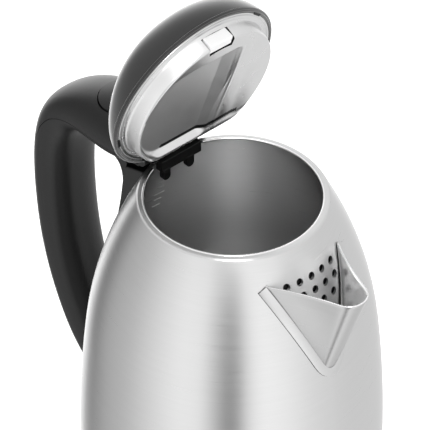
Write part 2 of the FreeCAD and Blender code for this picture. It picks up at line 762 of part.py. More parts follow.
hollow_handle = handle_solid(0).cut(handle_solid(-mm("handle_wall"))).cut(body_clear).cut(foot_clear)
outer_half = hollow_handle.common(seam_side(0)).cut(tongue(mm("button_gap"))).cut(lever_slot)
handle_outer_shell = solid_feature("handle_outer_shell", outer_half)
spring_x = -(mm("button_nose") + mm("button_back")) / 2
post = Part.makeCylinder(mm("spring_radius"), mm("arm_rise"), Vector(spring_x, 0, mm(RIM) - mm("grip_depth") / 2))
inner_half = hollow_handle.cut(seam_side(mm("seam_gap"))).fuse(post).removeSplitter()
handle_inner_shell = solid_feature("handle_inner_shell", inner_half)

# Inside the handle

steam_tube = solid_feature("steam_tube", tube_solid(mm("tube_radius")).cut(tube_solid(mm("tube_bore"))))

button_spring = cut("button_spring",
                    cylinder("spring_outside", "spring_radius", "spring_length",
                             spring_x, 0, f"{RIM} + arm_rise - grip_depth / 2 + run_clear"),
                    cylinder("spring_inside", "spring_radius - contact_thickness", "arm_rise",
                             spring_x, 0, f"{RIM} + arm_rise - grip_depth / 2"))

switch_centre, switch_inward, switch_depth, switch_width = handle_sections()[-4][:4]
switch_half = switch_width - mm("handle_wall") - mm("button_proud") * 4
switch_block = Part.makeBox(switch_depth - mm("handle_wall"), 2 * switch_half, mm("lever_half * 2"),
                            Vector(-(switch_depth - mm("handle_wall")) / 2, -switch_half, -mm("lever_half")))
switch_block.Placement = Placement(switch_centre, Rotation(Vector(1, 0, 0), switch_inward))
steam_switch = solid_feature("steam_switch", switch_block)

lever_paddle = Part.makeBox(mm("lever_thickness"), mm("lever_half * 2"), mm("lever_reach"),
                            Vector(-mm("lever_thickness") / 2, -mm("lever_half"), 0))
lever_paddle = lever_paddle.makeFillet(mm("lever_thickness") * 0.3, lever_paddle.Edges)
lever_paddle.Placement = lever_pose
across = Vector(0, 1, 0)
lever_barrel = Part.makeCylinder(mm("lever_barrel"), mm("lever_half * 2"),
                                 lever_axis - across * mm("lever_half"), across)
lever_way = Part.makeCylinder(mm("lever_pin + run_clear"), mm("lever_half * 4"),
                              lever_axis - across * mm("lever_half * 2"), across)
switch_lever = solid_feature("switch_lever", lever_paddle.fuse(lever_barrel).cut(lever_way).removeSplitter())
switch_pin = cross_rod("switch_pin", "lever_pin", "grip_width * 0.45 - handle_wall",
                       lever_axis.x, lever_axis.z)

# Foot of the arm, a wedge that runs down the body under the handle.
# Its side outline is given as shares of the waist behind the middle, and as depths below the rim.

ROOT_OUTLINE = ((0.625, 9.0), (0.896, 15.0), (0.951, 37.6), (1.0, 53.0), (0.972, 60.0), (0.694, 60.0))
root_corners = [Vector(-behind * mm(WAIST), -mm("root_half"), mm(RIM) - below) for behind, below in ROOT_OUTLINE]
root_face = Part.Face(Part.makePolygon(root_corners + root_corners[:1]))
root_wedge = root_face.extrude(Vector(0, mm("root_half * 2"), 0)).cut(body_clear).cut(arm_room)
handle_root = solid_feature("handle_root", max(root_wedge.Solids, key=lambda solid: solid.Volume))

# Hinge at the back of the mouth: bracket, pin and spring

BRACKET_FRONT = "(-hinge_back - ear_radius - loose_clear * 2)"
BRACKET_BACK = "(-arm_start + seam_gap)"
bracket_block = box("bracket_block", (BRACKET_BACK, BRACKET_FRONT), ("-ear_outer", "ear_outer"),
                    (f"{RIM} + loose_clear", f"{RIM} + hinge_rise + hinge_pin_radius"))
bracket_tail = box("bracket_tail", (f"{BRACKET_BACK} - plug_depth", BRACKET_FRONT),
                   ("-ear_inner + hinge_pin_radius", "ear_inner - hinge_pin_radius"),
                   (f"{RIM} + loose_clear", f"{RIM} + hinge_rise + hinge_pin_radius"))
bracket_floor = box("bracket_floor", (f"{BRACKET_FRONT} - loose_clear", "-mouth_radius + steel_wall"),
                    ("-ear_inner", "ear_inner"),
                    (f"{RIM} + seam_gap", f"{RIM} + hinge_rise - knuckle_radius - loose_clear"))
ear_parts = []
for side, name in ((-1, "near"), (1, "far")):
    low = min((f"{side} * ear_inner", f"{side} * ear_outer"), key=mm)
    high = max((f"{side} * ear_inner", f"{side} * ear_outer"), key=mm)
    ear_parts.append(cylinder(f"{name}_ear", "ear_radius", "ear_outer - ear_inner", HINGE_X, low, HINGE_Z,
                              along=Vector(0, 1, 0)))
    ear_parts.append(box(f"{name}_web", (f"{BRACKET_FRONT} - loose_clear", HINGE_X), (low, high),
                         (f"{RIM} + loose_clear", f"{RIM} + hinge_rise + hinge_pin_radius")))
    ear_parts.append(cylinder(f"{name}_prong", "prong_radius", "prong_radius - loose_clear",
                              "-mouth_radius + plate_depth - prong_radius + loose_clear", f"{side} * prong_spread",
                              f"{RIM} - bracket_plate", along=Vector(1, 0, 0)))
plate_disc_room = cylinder("plate_disc_room", "notch_radius - seam_gap", "bracket_plate * 2", 0, 0,
                           f"{RIM} - bracket_plate")
plate_block = box("plate_block", ("-shoulder_radius", "-mouth_radius + plate_depth"),
                  ("-notch_half + loose_clear", "notch_half - loose_clear"),
                  (f"{RIM} - bracket_plate", f"{RIM} + hinge_rise - knuckle_radius - loose_clear"))
mouth_plate = common("mouth_plate", plate_disc_room, plate_block)
pin_way = cross_rod("pin_way", "hinge_pin_radius + run_clear", "ear_outer * 2", HINGE_X, HINGE_Z)
hinge_bracket = cut("hinge_bracket",
                    fuse("bracket_body", bracket_block, bracket_tail, bracket_floor, mouth_plate, *ear_parts), pin_way)
hinge_pin = cross_rod("hinge_pin", "hinge_pin_radius", "ear_outer + seam_gap", HINGE_X, HINGE_Z)
lid_spring = cut("lid_spring",
                 cross_rod("lid_spring_outside", "hinge_pin_radius * 2 - loose_clear", "spring_half", HINGE_X, HINGE_Z),
                 cross_rod("lid_spring_inside", "hinge_pin_radius + loose_clear", "spring_half * 2", HINGE_X, HINGE_Z))

# Lid, drawn shut and then swung open about the hinge pin

LID_FOOT = f"({RIM} + lid_gap)"
PAN_TOP = f"({LID_FOOT} + pan_sheet)"
FRAME_FOOT = f"({PAN_TOP} + run_clear)"
FRAME_TOP = f"({FRAME_FOOT} + frame_thickness)"
CUP_FOOT = f"({LID_FOOT} - cup_depth)"
BOLT_FOOT = f"({CUP_FOOT} + pan_sheet + loose_clear)"
BOLT_TOP = f"({RIM} - steel_wall - seam_gap)"
RECESS_TOP = f"({CUP_FOOT} + recess_depth + pan_sheet + run_clear)"
LID_SPOTS = (90, 210, 330)
hinge_point = Vector(mm(HINGE_X), 0, mm(HINGE_Z))
lid_pose = Placement(Vector(), Rotation(Vector(0, 1, 0), -mm("lid_angle")), hinge_point)


def swing_open(item):
    item.Placement = lid_pose
    return item


def draw_dome(sketch, inset):
    """Half of the dome's section: a tight arc at the edge and a wide one over the top."""
    foot = FRAME_FOOT
    reach = mm(f"dome_radius - {inset}")
    edge_round = mm(f"dome_edge_round - {inset}")
    low = mm(foot)
    rise = mm(f"{RIM} + dome_height - {inset}") - low
    span = reach - edge_round
    top_round = (span ** 2 + rise ** 2 - edge_round ** 2) / (2 * (rise - edge_round))
    turn = math.atan2(top_round - rise, span)
    edge_circle = Part.Circle(Vector(span, low, 0), Vector(0, 0, 1), edge_round)
    top_circle = Part.Circle(Vector(0, low + rise - top_round, 0), Vector(0, 0, 1), top_round)
    sketch.addGeometry(Part.LineSegment(Vector(0, low, 0), Vector(reach, low, 0)), False)
    sketch.addGeometry(Part.ArcOfCircle(edge_circle, 0, turn), False)
    sketch.addGeometry(Part.ArcOfCircle(top_circle, turn, math.pi / 2), False)
    sketch.addGeometry(Part.LineSegment(Vector(0, low + rise, 0), Vector(0, low, 0)), False)
    for edge, following in ((0, 1), (2, 3), (3, 0)):
        sketch.addConstraint(Sketcher.Constraint("Coincident", edge, 2, following, 1))
    sketch.addConstraint(Sketcher.Constraint("Tangent", 1, 2, 2, 1))
    sketch.addConstraint(Sketcher.Constraint("Horizontal", 1, 3, 1, 1))
    pin_point(sketch, 0, 1, 0, foot)
    pin_point(sketch, 1, 1, f"dome_radius - {inset}", foot)
    pin_point(sketch, 3, 1, 0, f"{RIM} + dome_height - {inset}")
    sketch.addConstraint(Sketcher.Constraint("PointOnObject", 2, 3, -2))
    index = sketch.addConstraint(Sketcher.Constraint("Radius", 1, edge_round))
    sketch.setExpression(f"Constraints[{index}]", formula(f"dome_edge_round - {inset}"))


dome_body = doc.addObject("PartDesign::Body", "dome_body")
dome_line = sketch_on(dome_body, "dome_line", "XZ_Plane")
draw_dome(dome_line, 0)
revolve(dome_body, dome_line)
dome_inside_line = sketch_on(dome_body, "dome_inside_line", "XZ_Plane")
draw_dome(dome_inside_line, "dome_wall")
dome_inside = dome_body.newObject("PartDesign::Groove", "dome_inside")
dome_inside.Profile = dome_inside_line
dome_inside.ReferenceAxis = (dome_inside_line, ["V_Axis"])
dome_inside.Angle = 360
doc.recompute()

dome_bosses = []
lid_screw_ways = []
for spot in LID_SPOTS:
    spot_x = f"lid_screw_circle * cos({spot})"
    spot_y = f"lid_screw_circle * sin({spot})"
    dome_bosses.append(cylinder(f"dome_boss{spot}", "screw_radius + boss_wall",
                                "dome_height - dome_wall * 3 - lid_gap - pan_sheet - frame_thickness",
                                spot_x, spot_y, FRAME_TOP))
    lid_screw_ways.append(cylinder(f"lid_screw_way{spot}", "screw_radius + run_clear",
                                   "dome_height / 2", spot_x, spot_y, LID_FOOT))
dome_notch = box("dome_notch", ("-dome_radius * 2", "-hinge_back + ear_radius + dome_edge_clear"),
                 ("-ear_outer - dome_edge_clear", "ear_outer + dome_edge_clear"),
                 (RIM, f"{RIM} + hinge_rise + ear_radius + dome_edge_clear * 2"))
lid_dome = swing_open(cut("lid_dome", fuse("bossed_dome", dome_body, *dome_bosses), dome_notch, *lid_screw_ways))

# Steel pan under the lid, with its flat back and the stepped recess in its floor


def recess(grow):
    """The hollow stamped into the pan's floor, grown by grow for the far side of the sheet."""
    wires = []
    for level, slope, near in ((0.0, 0.0, 0.0), (mm("recess_depth") + grow, mm("recess_slope"), mm("pan_sheet"))):
        back = -mm("recess_back") - grow + near
        front = mm("recess_front") + grow - near
        side = mm("recess_side") + grow - slope
        rim = mm("cup_foot") - mm("pan_sheet") * 2 + grow - near
        low = -math.sqrt(rim ** 2 - front ** 2)
        low_back = -math.sqrt(rim ** 2 - back ** 2)
        height = mm(CUP_FOOT) + level
        corners = [Vector(back, side, height), Vector(front, side, height), Vector(front, low, height),
                   Vector(back, low_back, height)]
        middle = Vector((front + back) / 2, -math.sqrt(rim ** 2 - ((front + back) / 2) ** 2), height)
        wires.append(Part.Wire([
            Part.makeLine(corners[0], corners[1]),
            Part.makeLine(corners[1], corners[2]),
            Part.Arc(corners[2], middle, corners[3]).toShape(),
            Part.makeLine(corners[3], corners[0]),
        ]))
    return Part.makeLoft(wires, True, True)


def cup(name, inset):
    """The pan's tapered cup, flattened at the back, moved in by inset."""
    cone = doc.addObject("Part::Cone", name + "_cone")
    bind(cone, Radius1=f"cup_foot - {inset}", Radius2=f"cup_radius - {inset}",
         Height=f"{PAN_TOP} - {CUP_FOOT} - {inset}")
    put(cone, z=f"{CUP_FOOT} + {inset}")
    back = box(name + "_back", ("-dome_radius * 2", f"-chord_back + {inset}"), ("-dome_radius", "dome_radius"),
               (f"{CUP_FOOT} - cup_depth", f"{PAN_TOP} + cup_depth"))
    return cut(name, cone, back)


flange_disc = cylinder("flange_disc", "pan_flange", "pan_sheet", 0, 0, LID_FOOT)
flange_back = box("flange_back", ("-dome_radius * 2", "-mouth_radius + plate_depth + dome_edge_clear"),
                  ("-dome_radius", "dome_radius"), (CUP_FOOT, f"{PAN_TOP} + pan_sheet"))
pan_blank = fuse("pan_blank", cup("cup_outside", 0), cut("flange", flange_disc, flange_back))
recess_outside = solid_feature("recess_outside", recess(0))
recess_inside = solid_feature("recess_inside", recess(mm("pan_sheet")))
cup_hollow = cut("cup_hollow", cup("cup_inside", "pan_sheet"), recess_inside)
bolt_window = box("bolt_window", ("bolt_reach - bolt_length", "bolt_reach * 2"),
                  ("-bolt_half - loose_clear", "bolt_half + loose_clear"),
                  (f"{BOLT_FOOT} - seam_gap", f"{BOLT_TOP} + seam_gap"))
lid_pan = swing_open(cut("lid_pan", pan_blank, recess_outside, cup_hollow, bolt_window))

# Frame between dome and pan, with the knuckles that turn on the hinge pin

frame_disc = cylinder("frame_disc", "frame_radius", "frame_thickness", 0, 0, FRAME_FOOT)
frame_back = box("frame_back", ("-dome_radius * 2", "-hinge_back + ear_radius + dome_edge_clear"),
                 ("-dome_radius", "dome_radius"), (RIM, f"{RIM} + dome_height"))
knuckle_parts = []
for side, name in ((-1, "near"), (1, "far")):
    spread = (f"{side} * (spring_half + loose_clear)", f"{side} * (ear_inner - loose_clear)")
    low = min(spread, key=mm)
    high = max(spread, key=mm)
    knuckle_parts.append(cylinder(f"{name}_knuckle", "knuckle_radius", f"({high}) - ({low})", HINGE_X, low, HINGE_Z,
                                  along=Vector(0, 1, 0)))
    knuckle_parts.append(box(f"{name}_arm", (HINGE_X, "-chord_back"), (low, high),
                             (f"{FRAME_FOOT} + seam_gap", HINGE_Z)))
lid_frame = swing_open(cut("lid_frame", fuse("frame_body", cut("frame_plate", frame_disc, frame_back), *knuckle_parts),
                           pin_way, *lid_screw_ways))
lid_screws = swing_open(screws("lid_screws", "lid_screw_circle", LID_SPOTS, f"{LID_FOOT} + run_clear",
                               "pan_sheet", f"{LID_FOOT} + dome_height / 2 - loose_clear"))

# Latch bolt in the front of the lid and its spring

bolt_block = box("bolt_block", ("bolt_reach - bolt_length", "bolt_reach"), ("-bolt_half", "bolt_half"),
                 (BOLT_FOOT, BOLT_TOP))
bolt_round = cylinder("bolt_round", "bolt_reach", "cup_depth * 2", 0, 0, f"{BOLT_FOOT} - cup_depth / 2")
bolt_rod = box("bolt_rod", ("-chord_back / 2 - bolt_travel", "bolt_reach - bolt_length + steel_wall"),
               ("-prong_radius", "prong_radius"), (RECESS_TOP, BOLT_TOP))
lid_latch_bolt = swing_open(fuse("lid_latch_bolt", common("bolt_head", bolt_block, bolt_round), bolt_rod))
SPRING_LEVEL = f"({RECESS_TOP} + hinge_pin_radius - loose_clear)"
SPRING_BACK = "(-chord_back + pan_sheet + seam_gap)"
SPRING_FRONT = "(-chord_back / 2 - bolt_travel * 2 - seam_gap)"
latch_spring = swing_open(cut("latch_spring",
                              cylinder("latch_spring_outside", "hinge_pin_radius - loose_clear",
                                       f"{SPRING_FRONT} - {SPRING_BACK}", SPRING_BACK, 0, SPRING_LEVEL,
                                       along=Vector(1, 0, 0)),
                              cylinder("latch_spring_inside", "hinge_pin_radius / 2", "chord_back * 2",
                                       "-chord_back * 2", 0, SPRING_LEVEL, along=Vector(1, 0, 0))))

doc.recompute()

PIECES = [
    foot_ring, base_bottom_cover, base_top_cover, base_screws, cord_grommet, terminal_block, base_connector,
    contact_ring, contact_sleeve, coupler_socket, coupler_pin, coupler_blade, bottom_housing, bottom_screws,
    heater_plate, heat_spreader, heating_element, control_unit, boil_dry_disc, body_shell, spout_beak,
    handle_outer_shell, handle_inner_shell, handle_root, steam_tube, steam_switch, switch_lever, switch_pin,
    lid_release_button, button_spring, hinge_bracket, hinge_pin, lid_spring, lid_dome, lid_pan, lid_frame,
    lid_screws, lid_latch_bolt, latch_spring,
]

for item in doc.Objects:
    if "Invalid" in item.State or "Error" in item.State:
        raise RuntimeError(f"{item.Label} failed: {item.State}")
for piece in PIECES:
    if piece.Shape.isNull() or not piece.Shape.isValid():
        raise RuntimeError(piece.Label + " has no valid shape")

os.makedirs("parts", exist_ok=True)
for piece in PIECES:
    piece.Shape.exportStep(f"parts/{piece.Label}.step")
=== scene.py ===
"""Looks of a cordless electric kettle, standing open on its power base."""
import math

import bmesh
import bpy
from mathutils import Matrix, Vector


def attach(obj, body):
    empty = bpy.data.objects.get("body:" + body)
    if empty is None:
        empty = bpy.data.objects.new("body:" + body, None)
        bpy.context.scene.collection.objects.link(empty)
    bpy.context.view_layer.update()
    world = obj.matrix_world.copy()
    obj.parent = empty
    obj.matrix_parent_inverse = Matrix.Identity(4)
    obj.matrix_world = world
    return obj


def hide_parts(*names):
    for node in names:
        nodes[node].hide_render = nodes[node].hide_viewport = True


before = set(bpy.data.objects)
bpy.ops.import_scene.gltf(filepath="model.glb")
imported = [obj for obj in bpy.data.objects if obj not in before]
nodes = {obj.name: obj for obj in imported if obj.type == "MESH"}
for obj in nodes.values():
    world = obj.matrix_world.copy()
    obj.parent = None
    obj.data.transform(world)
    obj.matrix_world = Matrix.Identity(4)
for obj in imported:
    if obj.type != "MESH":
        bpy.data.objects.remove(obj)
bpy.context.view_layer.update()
MM = 0.001

# Covers of the power base, the skirt under the jug and the rubber foot.
# They are injection moulded in charcoal ABS with a fine spark-eroded grain, and screwed
# together from below. The foot ring and the cord bush are soft black rubber.


class Value:
    """A socket of a node tree, whose arithmetic adds Math nodes."""

    def __init__(self, tree, socket=None):
        self.tree = tree
        self.socket = socket

    def node(self, kind, settings=None, links=None, out=0):
        """Add a node of that kind and give back one of its outputs."""
        made = self.tree.nodes.new(kind)
        for name, setting in (settings or {}).items():
            if name == "stops":
                while len(made.color_ramp.elements) < len(setting):
                    made.color_ramp.elements.new(1.0)
                for element, (place, level) in zip(made.color_ramp.elements, setting):
                    element.position = place
                    element.color = (level, level, level, 1.0)
            else:
                setattr(made, name, setting)
        for name, item in (links or {}).items():
            if isinstance(item, Value):
                self.tree.links.new(item.socket, made.inputs[name])
            else:
                made.inputs[name].default_value = item
        return Value(self.tree, made.outputs[out])

    def math(self, operation, *others):
        return self.node("ShaderNodeMath", {"operation": operation}, dict(enumerate((self, *others))))

    def __add__(self, other):
        return self.math("ADD", other)

    def __mul__(self, other):
        return self.math("MULTIPLY", other)

    def __sub__(self, other):
        return self.math("SUBTRACT", other)

    def __rsub__(self, other):
        return (self * -1.0) + other

    __radd__ = __add__
    __rmul__ = __mul__


def grey(level):
    return (level, level, level, 1.0)


def new_finish(name, **constants):
    """A material with a Principled shader, its constants set on the shader's own sockets."""
    material = bpy.data.materials.new(name)
    material.use_nodes = True
    shader = material.node_tree.nodes["Principled BSDF"]
    for socket, setting in constants.items():
        shader.inputs[socket.replace("_", " ")].default_value = setting
    return material, shader, Value(material.node_tree)


def feed(shader, socket, value):
    """Link a value to a socket of a shader."""
    value.tree.links.new(value.socket, shader.inputs[socket])


def blend(factor, low, high):
    """The colour between two, by a factor."""
    return factor.node("ShaderNodeMix", {"data_type": "RGBA"}, {0: factor, 6: low, 7: high}, out=2)


def noise(place, scale, detail):
    """An uneven value from 0 to 1 over a place."""
    return place.node("ShaderNodeTexNoise", links={"Vector": place, "Scale": scale, "Detail": detail})


def relief(height, distance, strength):
    """A normal that shows a height as relief."""
    return height.node("ShaderNodeBump", links={"Height": height, "Distance": distance, "Strength": strength})


PLASTIC_IOR = 1.38
SHEEN_ROUGHNESS = 0.35
CLOUD_SCALE = 40.0
CLOUD_TONE = 0.1
CLOUD_GLOSS, GRAIN_GLOSS = 0.06, 0.04
GRAIN_STRENGTH = 0.35


def moulded_plastic(name, tone, roughness, grain_size, grain_height, sheen=0.0):
    """Plastic with a fine moulded grain, a little cloudy in tone and gloss."""
    material, shader, start = new_finish(name, IOR=PLASTIC_IOR, Sheen_Weight=sheen,
                                         Sheen_Roughness=SHEEN_ROUGHNESS)
    place = start.node("ShaderNodeTexCoord", out="Object")
    clouds = noise(place, CLOUD_SCALE, 3.0)
    grain = noise(place, 1 / grain_size, 2.0)
    feed(shader, "Base Color", blend(clouds, grey(tone * (1 - CLOUD_TONE)), grey(tone * (1 + CLOUD_TONE))))
    mean_gloss = (CLOUD_GLOSS + GRAIN_GLOSS) / 2
    feed(shader, "Roughness", clouds * CLOUD_GLOSS + grain * GRAIN_GLOSS + (roughness - mean_gloss))
    feed(shader, "Normal", relief(grain, grain_height, GRAIN_STRENGTH))
    return material


def dress(material, *names):
    """Give a finish to pieces that keep the shape they were built with."""
    for name in names:
        node = nodes[name]
        node.data.materials.clear()
        node.data.materials.append(material)


charcoal = moulded_plastic("charcoal_grain", tone=0.010, roughness=0.38,
                           grain_size=0.35 * MM, grain_height=0.02 * MM)
soft_rubber = moulded_plastic("black_rubber", tone=0.012, roughness=0.75,
                              grain_size=0.6 * MM, grain_height=0.03 * MM)
dress(charcoal, "base_top_cover", "base_bottom_cover", "bottom_housing")
dress(soft_rubber, "foot_ring", "cord_grommet")

# Connector of the base and the coupler that drops over it, in matt black moulded plastic,
# with round brass contacts, and the bright steel screws and pins that hold the kettle together.

black_plastic = moulded_plastic("black_matt_plastic", tone=0.006, roughness=0.48,
                                grain_size=0.5 * MM, grain_height=0.015 * MM)
SPECKLE_GLOSS = 0.16


def bare_metal(name, colour, roughness, speckle_size):
    """Plain metal with faint speckle in its gloss."""
    material, shader, start = new_finish(name, Metallic=1.0, Base_Color=colour)
    place = start.node("ShaderNodeTexCoord", out="Object")
    speckle = noise(place, 1 / speckle_size, 4.0)
    feed(shader, "Roughness", speckle * SPECKLE_GLOSS + (roughness - SPECKLE_GLOSS / 2))
    return material


contact_brass = bare_metal("contact_brass", (0.72, 0.5, 0.2, 1.0), roughness=0.25, speckle_size=2 * MM)
fastener_steel = bare_metal("fastener_steel", grey(0.55), roughness=0.3, speckle_size=1.5 * MM)
cast_aluminium = bare_metal("cast_aluminium", grey(0.6), roughness=0.5, speckle_size=1 * MM)
dress(black_plastic, "base_connector", "coupler_socket", "terminal_block", "control_unit", "steam_switch")
dress(contact_brass, "contact_ring", "contact_sleeve", "coupler_pin", "coupler_blade", "boil_dry_disc")
dress(fastener_steel, "base_screws", "bottom_screws", "lid_screws", "hinge_pin", "switch_pin",
      "button_spring", "latch_spring", "lid_spring")
dress(cast_aluminium, "heat_spreader", "heating_element")

# Body of the jug: one sheet of stainless steel, spun to a waisted shape and brushed round and
# round, so that it shows fine level lines and mirrors the room in soft upright bands.
# The floor is a steel plate welded into it. The inside faces get a darker copy of the same steel, which is
# painted shade.

LINES_AROUND, LINES_UP = 3.0, 2500.0
BANDS_AROUND, BANDS_UP = 1.5, 420.0
LINE_SHARE = 0.6
LINE_TONE = 0.07
LINE_GLOSS, BAND_GLOSS = 0.10, 0.06
LINE_STRENGTH = 0.25


def brushed_steel(name, tone, roughness, line_height, stretch):
    """Steel brushed round the upright axis: fine level lines in its gloss and relief."""
    material, shader, start = new_finish(name, Metallic=1.0, Anisotropic=stretch, Anisotropic_Rotation=0.25)
    place = start.node("ShaderNodeTexCoord", out="Object")
    x, y, z = (place.node("ShaderNodeSeparateXYZ", links={0: place}, out=axis) for axis in "XYZ")
    around = y.math("ARCTAN2", x)
    line_place = z.node("ShaderNodeCombineXYZ", links={"X": around * LINES_AROUND, "Y": z * LINES_UP})
    lines = noise(line_place, 1.0, 3.0)
    band_place = z.node("ShaderNodeCombineXYZ", links={"X": around * BANDS_AROUND, "Y": z * BANDS_UP})
    bands = noise(band_place, 1.0, 2.0)
    streaks = lines * LINE_SHARE + bands * (1 - LINE_SHARE)
    feed(shader, "Base Color", blend(streaks, grey(tone * (1 - LINE_TONE)), grey(tone * (1 + LINE_TONE))))
    mean_gloss = (LINE_GLOSS + BAND_GLOSS) / 2
    feed(shader, "Roughness", lines * LINE_GLOSS + bands * BAND_GLOSS + (roughness - mean_gloss))
    feed(shader, "Normal", relief(lines, line_height, LINE_STRENGTH))
    return material


def inner_faces(node):
    """The faces of a hollow turned piece that look towards its axis."""
    return [face for face in node.data.polygons
            if face.normal.x * face.center.x + face.normal.y * face.center.y < 0]


body_steel = brushed_steel("brushed_body_steel", tone=0.63, roughness=0.30,
                           line_height=0.02 * MM, stretch=0.75)
# Inside of the wall: the same brushed steel in a darker tone, as painted shade in the jug.
inside_painted_shade_steel = brushed_steel("brushed_inside_painted_shade_steel", tone=0.46, roughness=0.30,
                             line_height=0.03 * MM, stretch=0.6)
floor_steel = brushed_steel("plain_floor_steel", tone=0.6, roughness=0.32,
                            line_height=0.01 * MM, stretch=0.0)
dress(body_steel, "body_shell")
dress(floor_steel, "heater_plate")
# Faces that look towards the axis take the darker steel of painted shade.
nodes["body_shell"].data.materials.append(inside_painted_shade_steel)
for face in inner_faces(nodes["body_shell"]):
    face.material_index = 1

# Rolled edge of the mouth: the cut edge of the sheet is turned over into a thin bright bead,
# open at the back where the hinge bracket passes down into the jug.

RIM = 216.0
BEAD_RADIUS = 42.25
BEAD_HALF = 0.6
BEAD_SINK = 0.3
BEAD_GAP_ANGLE = 22.0


def skin(name, rows, wrap=False, keep=None):
    """A mesh through rows of points in millimetres; wrap joins the two ends of each row."""
    width = len(rows[0])
    faces = []
    for row in range(len(rows) - 1):
        for column in range(width if wrap else width - 1):
            if keep is None or keep(row, column):
                across = (column + 1) % width
                faces.append((row * width + column, row * width + across,
                              (row + 1) * width + across, (row + 1) * width + column))
    mesh = bpy.data.meshes.new(name)
    mesh.from_pydata([Vector(point) * MM for line in rows for point in line], [], faces)
    shape = bmesh.new()
    shape.from_mesh(mesh)
    bmesh.ops.delete(shape, geom=[vertex for vertex in shape.verts if not vertex.link_faces], context="VERTS")
    shape.to_mesh(mesh)
    shape.free()
    return mesh


def show(name, mesh, material, crease=40.0):
    """Put a mesh in the scene, shaded smooth up to the crease angle."""
    piece = bpy.data.objects.new(name, mesh)
    bpy.context.scene.collection.objects.link(piece)
    mesh.materials.append(material)
    mesh.polygons.foreach_set("use_smooth", [True] * len(mesh.polygons))
    mesh.set_sharp_from_angle(angle=math.radians(crease))
    return piece


def steps(start, end, count):
    """Evenly spaced values from start to end, both included."""
    return [start + (end - start) * index / count for index in range(count + 1)]


def polar(radius, angle, height):
    return Vector((radius * math.cos(angle), radius * math.sin(angle), height))


bright_steel = bare_metal("bright_edge_steel", grey(0.85), roughness=0.16, speckle_size=3 * MM)
bead_end = math.radians(180 - BEAD_GAP_ANGLE)
bead_rows = []
for turn in steps(-bead_end, bead_end, 160):
    bead_rows.append([polar(BEAD_RADIUS + BEAD_HALF * math.cos(side), turn,
                            RIM - BEAD_SINK + BEAD_HALF * math.sin(side))
                      for side in steps(0, math.tau, 16)[:-1]])
bead_mesh = skin("mouth_bead", bead_rows, wrap=True)
mouth_bead = show("mouth_bead", bead_mesh, bright_steel)
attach(mouth_bead, "jug")

# Level marks on the inside of the wall, beside the handle: plain bars pressed out of the sheet,
# with the longest at the top.

BODY_ARC_RADIUS = 224.9
BODY_ARC_X = -150.87
BODY_ARC_Z = 105.84
BODY_SHEET = 1.0


def body_radius(height):
    """Outside radius of the body above its waist."""
    return BODY_ARC_X + math.sqrt(BODY_ARC_RADIUS ** 2 - (height - BODY_ARC_Z) ** 2)


MARK_ANGLE = math.radians(174.0)
MARKS = ((189.0, 8.0), (184.0, 4.5), (179.0, 4.5), (174.0, 6.5), (169.0, 4.5), (164.0, 4.5))
MARK_HALF = 0.45
MARK_PROUD = 0.25
MARK_ROOT = -0.1
MARK_FLAT = 0.6 * MARK_HALF
MARK_SECTION = ((-MARK_HALF, MARK_ROOT), (-MARK_FLAT, MARK_PROUD), (MARK_FLAT, MARK_PROUD),
                (MARK_HALF, MARK_ROOT))


def joined(name, parts):
    """One mesh of several, which are used up."""
    shape = bmesh.new()
    for part in parts:
        shape.from_mesh(part)
        bpy.data.meshes.remove(part)
    mesh = bpy.data.meshes.new(name)
    shape.to_mesh(mesh)
    shape.free()
    return mesh


bars = []
for mark_height, mark_length in MARKS:
    mark_turn = mark_length / (body_radius(mark_height) - BODY_SHEET) / 2
    lines = []
    for level, proud in MARK_SECTION:
        radius = body_radius(mark_height + level) - BODY_SHEET - proud
        lines.append([polar(radius, MARK_ANGLE + turn, mark_height + level)
                      for turn in steps(-mark_turn, mark_turn, 8)])
    bars.append(skin("level_bar", lines))
mark_mesh = joined("level_marks", bars)
level_marks = show("level_marks", mark_mesh, bright_steel)
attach(level_marks, "jug")

# Painted shade behind the strainer holes: a black sheet on the inside of the wall, put there so that the
# holes look black from outside.

HOLE_SHADE_GAP = 1.6
HOLE_SHADE_SHEET = 0.4
HOLE_SHADE_FOOT, HOLE_SHADE_TOP = 164.0, 206.0
HOLE_SHADE_TURN = math.radians(22.0)
hole_shade_rows = []
for height in steps(HOLE_SHADE_FOOT, HOLE_SHADE_TOP, 14):
    hole_shade_rows.append([polar(body_radius(height) - BODY_SHEET - HOLE_SHADE_GAP, turn, height)
                        for turn in steps(-HOLE_SHADE_TURN, HOLE_SHADE_TURN, 20)])
hole_shade_mesh = skin("hole_shade_sheet", hole_shade_rows)
# Black sheet that stands for the shade inside the strainer holes.
hole_shade_sheet = show("hole_shade_sheet", hole_shade_mesh, black_plastic)
hole_shade_thickness = hole_shade_sheet.modifiers.new("thickness", "SOLIDIFY")
hole_shade_thickness.thickness = HOLE_SHADE_SHEET * MM
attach(hole_shade_sheet, "jug")

# Spout: a beak folded from one sheet of brushed steel, with two slightly dished cheeks that meet
# in a round nose. Its lip is ground bright, and its feet are welded to the body. The inside of the sheet is a
# much lighter copy of its steel, as painted light.

SPOUT_LEVELS = 30
SPOUT_TOP = 206.0
SPOUT_SPAN = 53.0
SPOUT_SHEET = 0.6
NOSE_REACH, NOSE_REACH_FALL = 84.5, 16.2
NOSE_RADIUS, NOSE_RADIUS_FALL = 8.5, 3.2
CHEEK_ANGLE, CHEEK_ANGLE_RISE = 24.0, 10.0
NOSE_SHARE = 0.4
HEEL_PROUD, HEEL_STEP = 0.25, 0.1
LIP_ROUNDS = 4
LIP_X, LIP_Z, LIP_TILT = 45.2, 204.0, math.tan(math.radians(4.0))
CHEEK_DISH = 1.0
DISH_FULL = 30.0


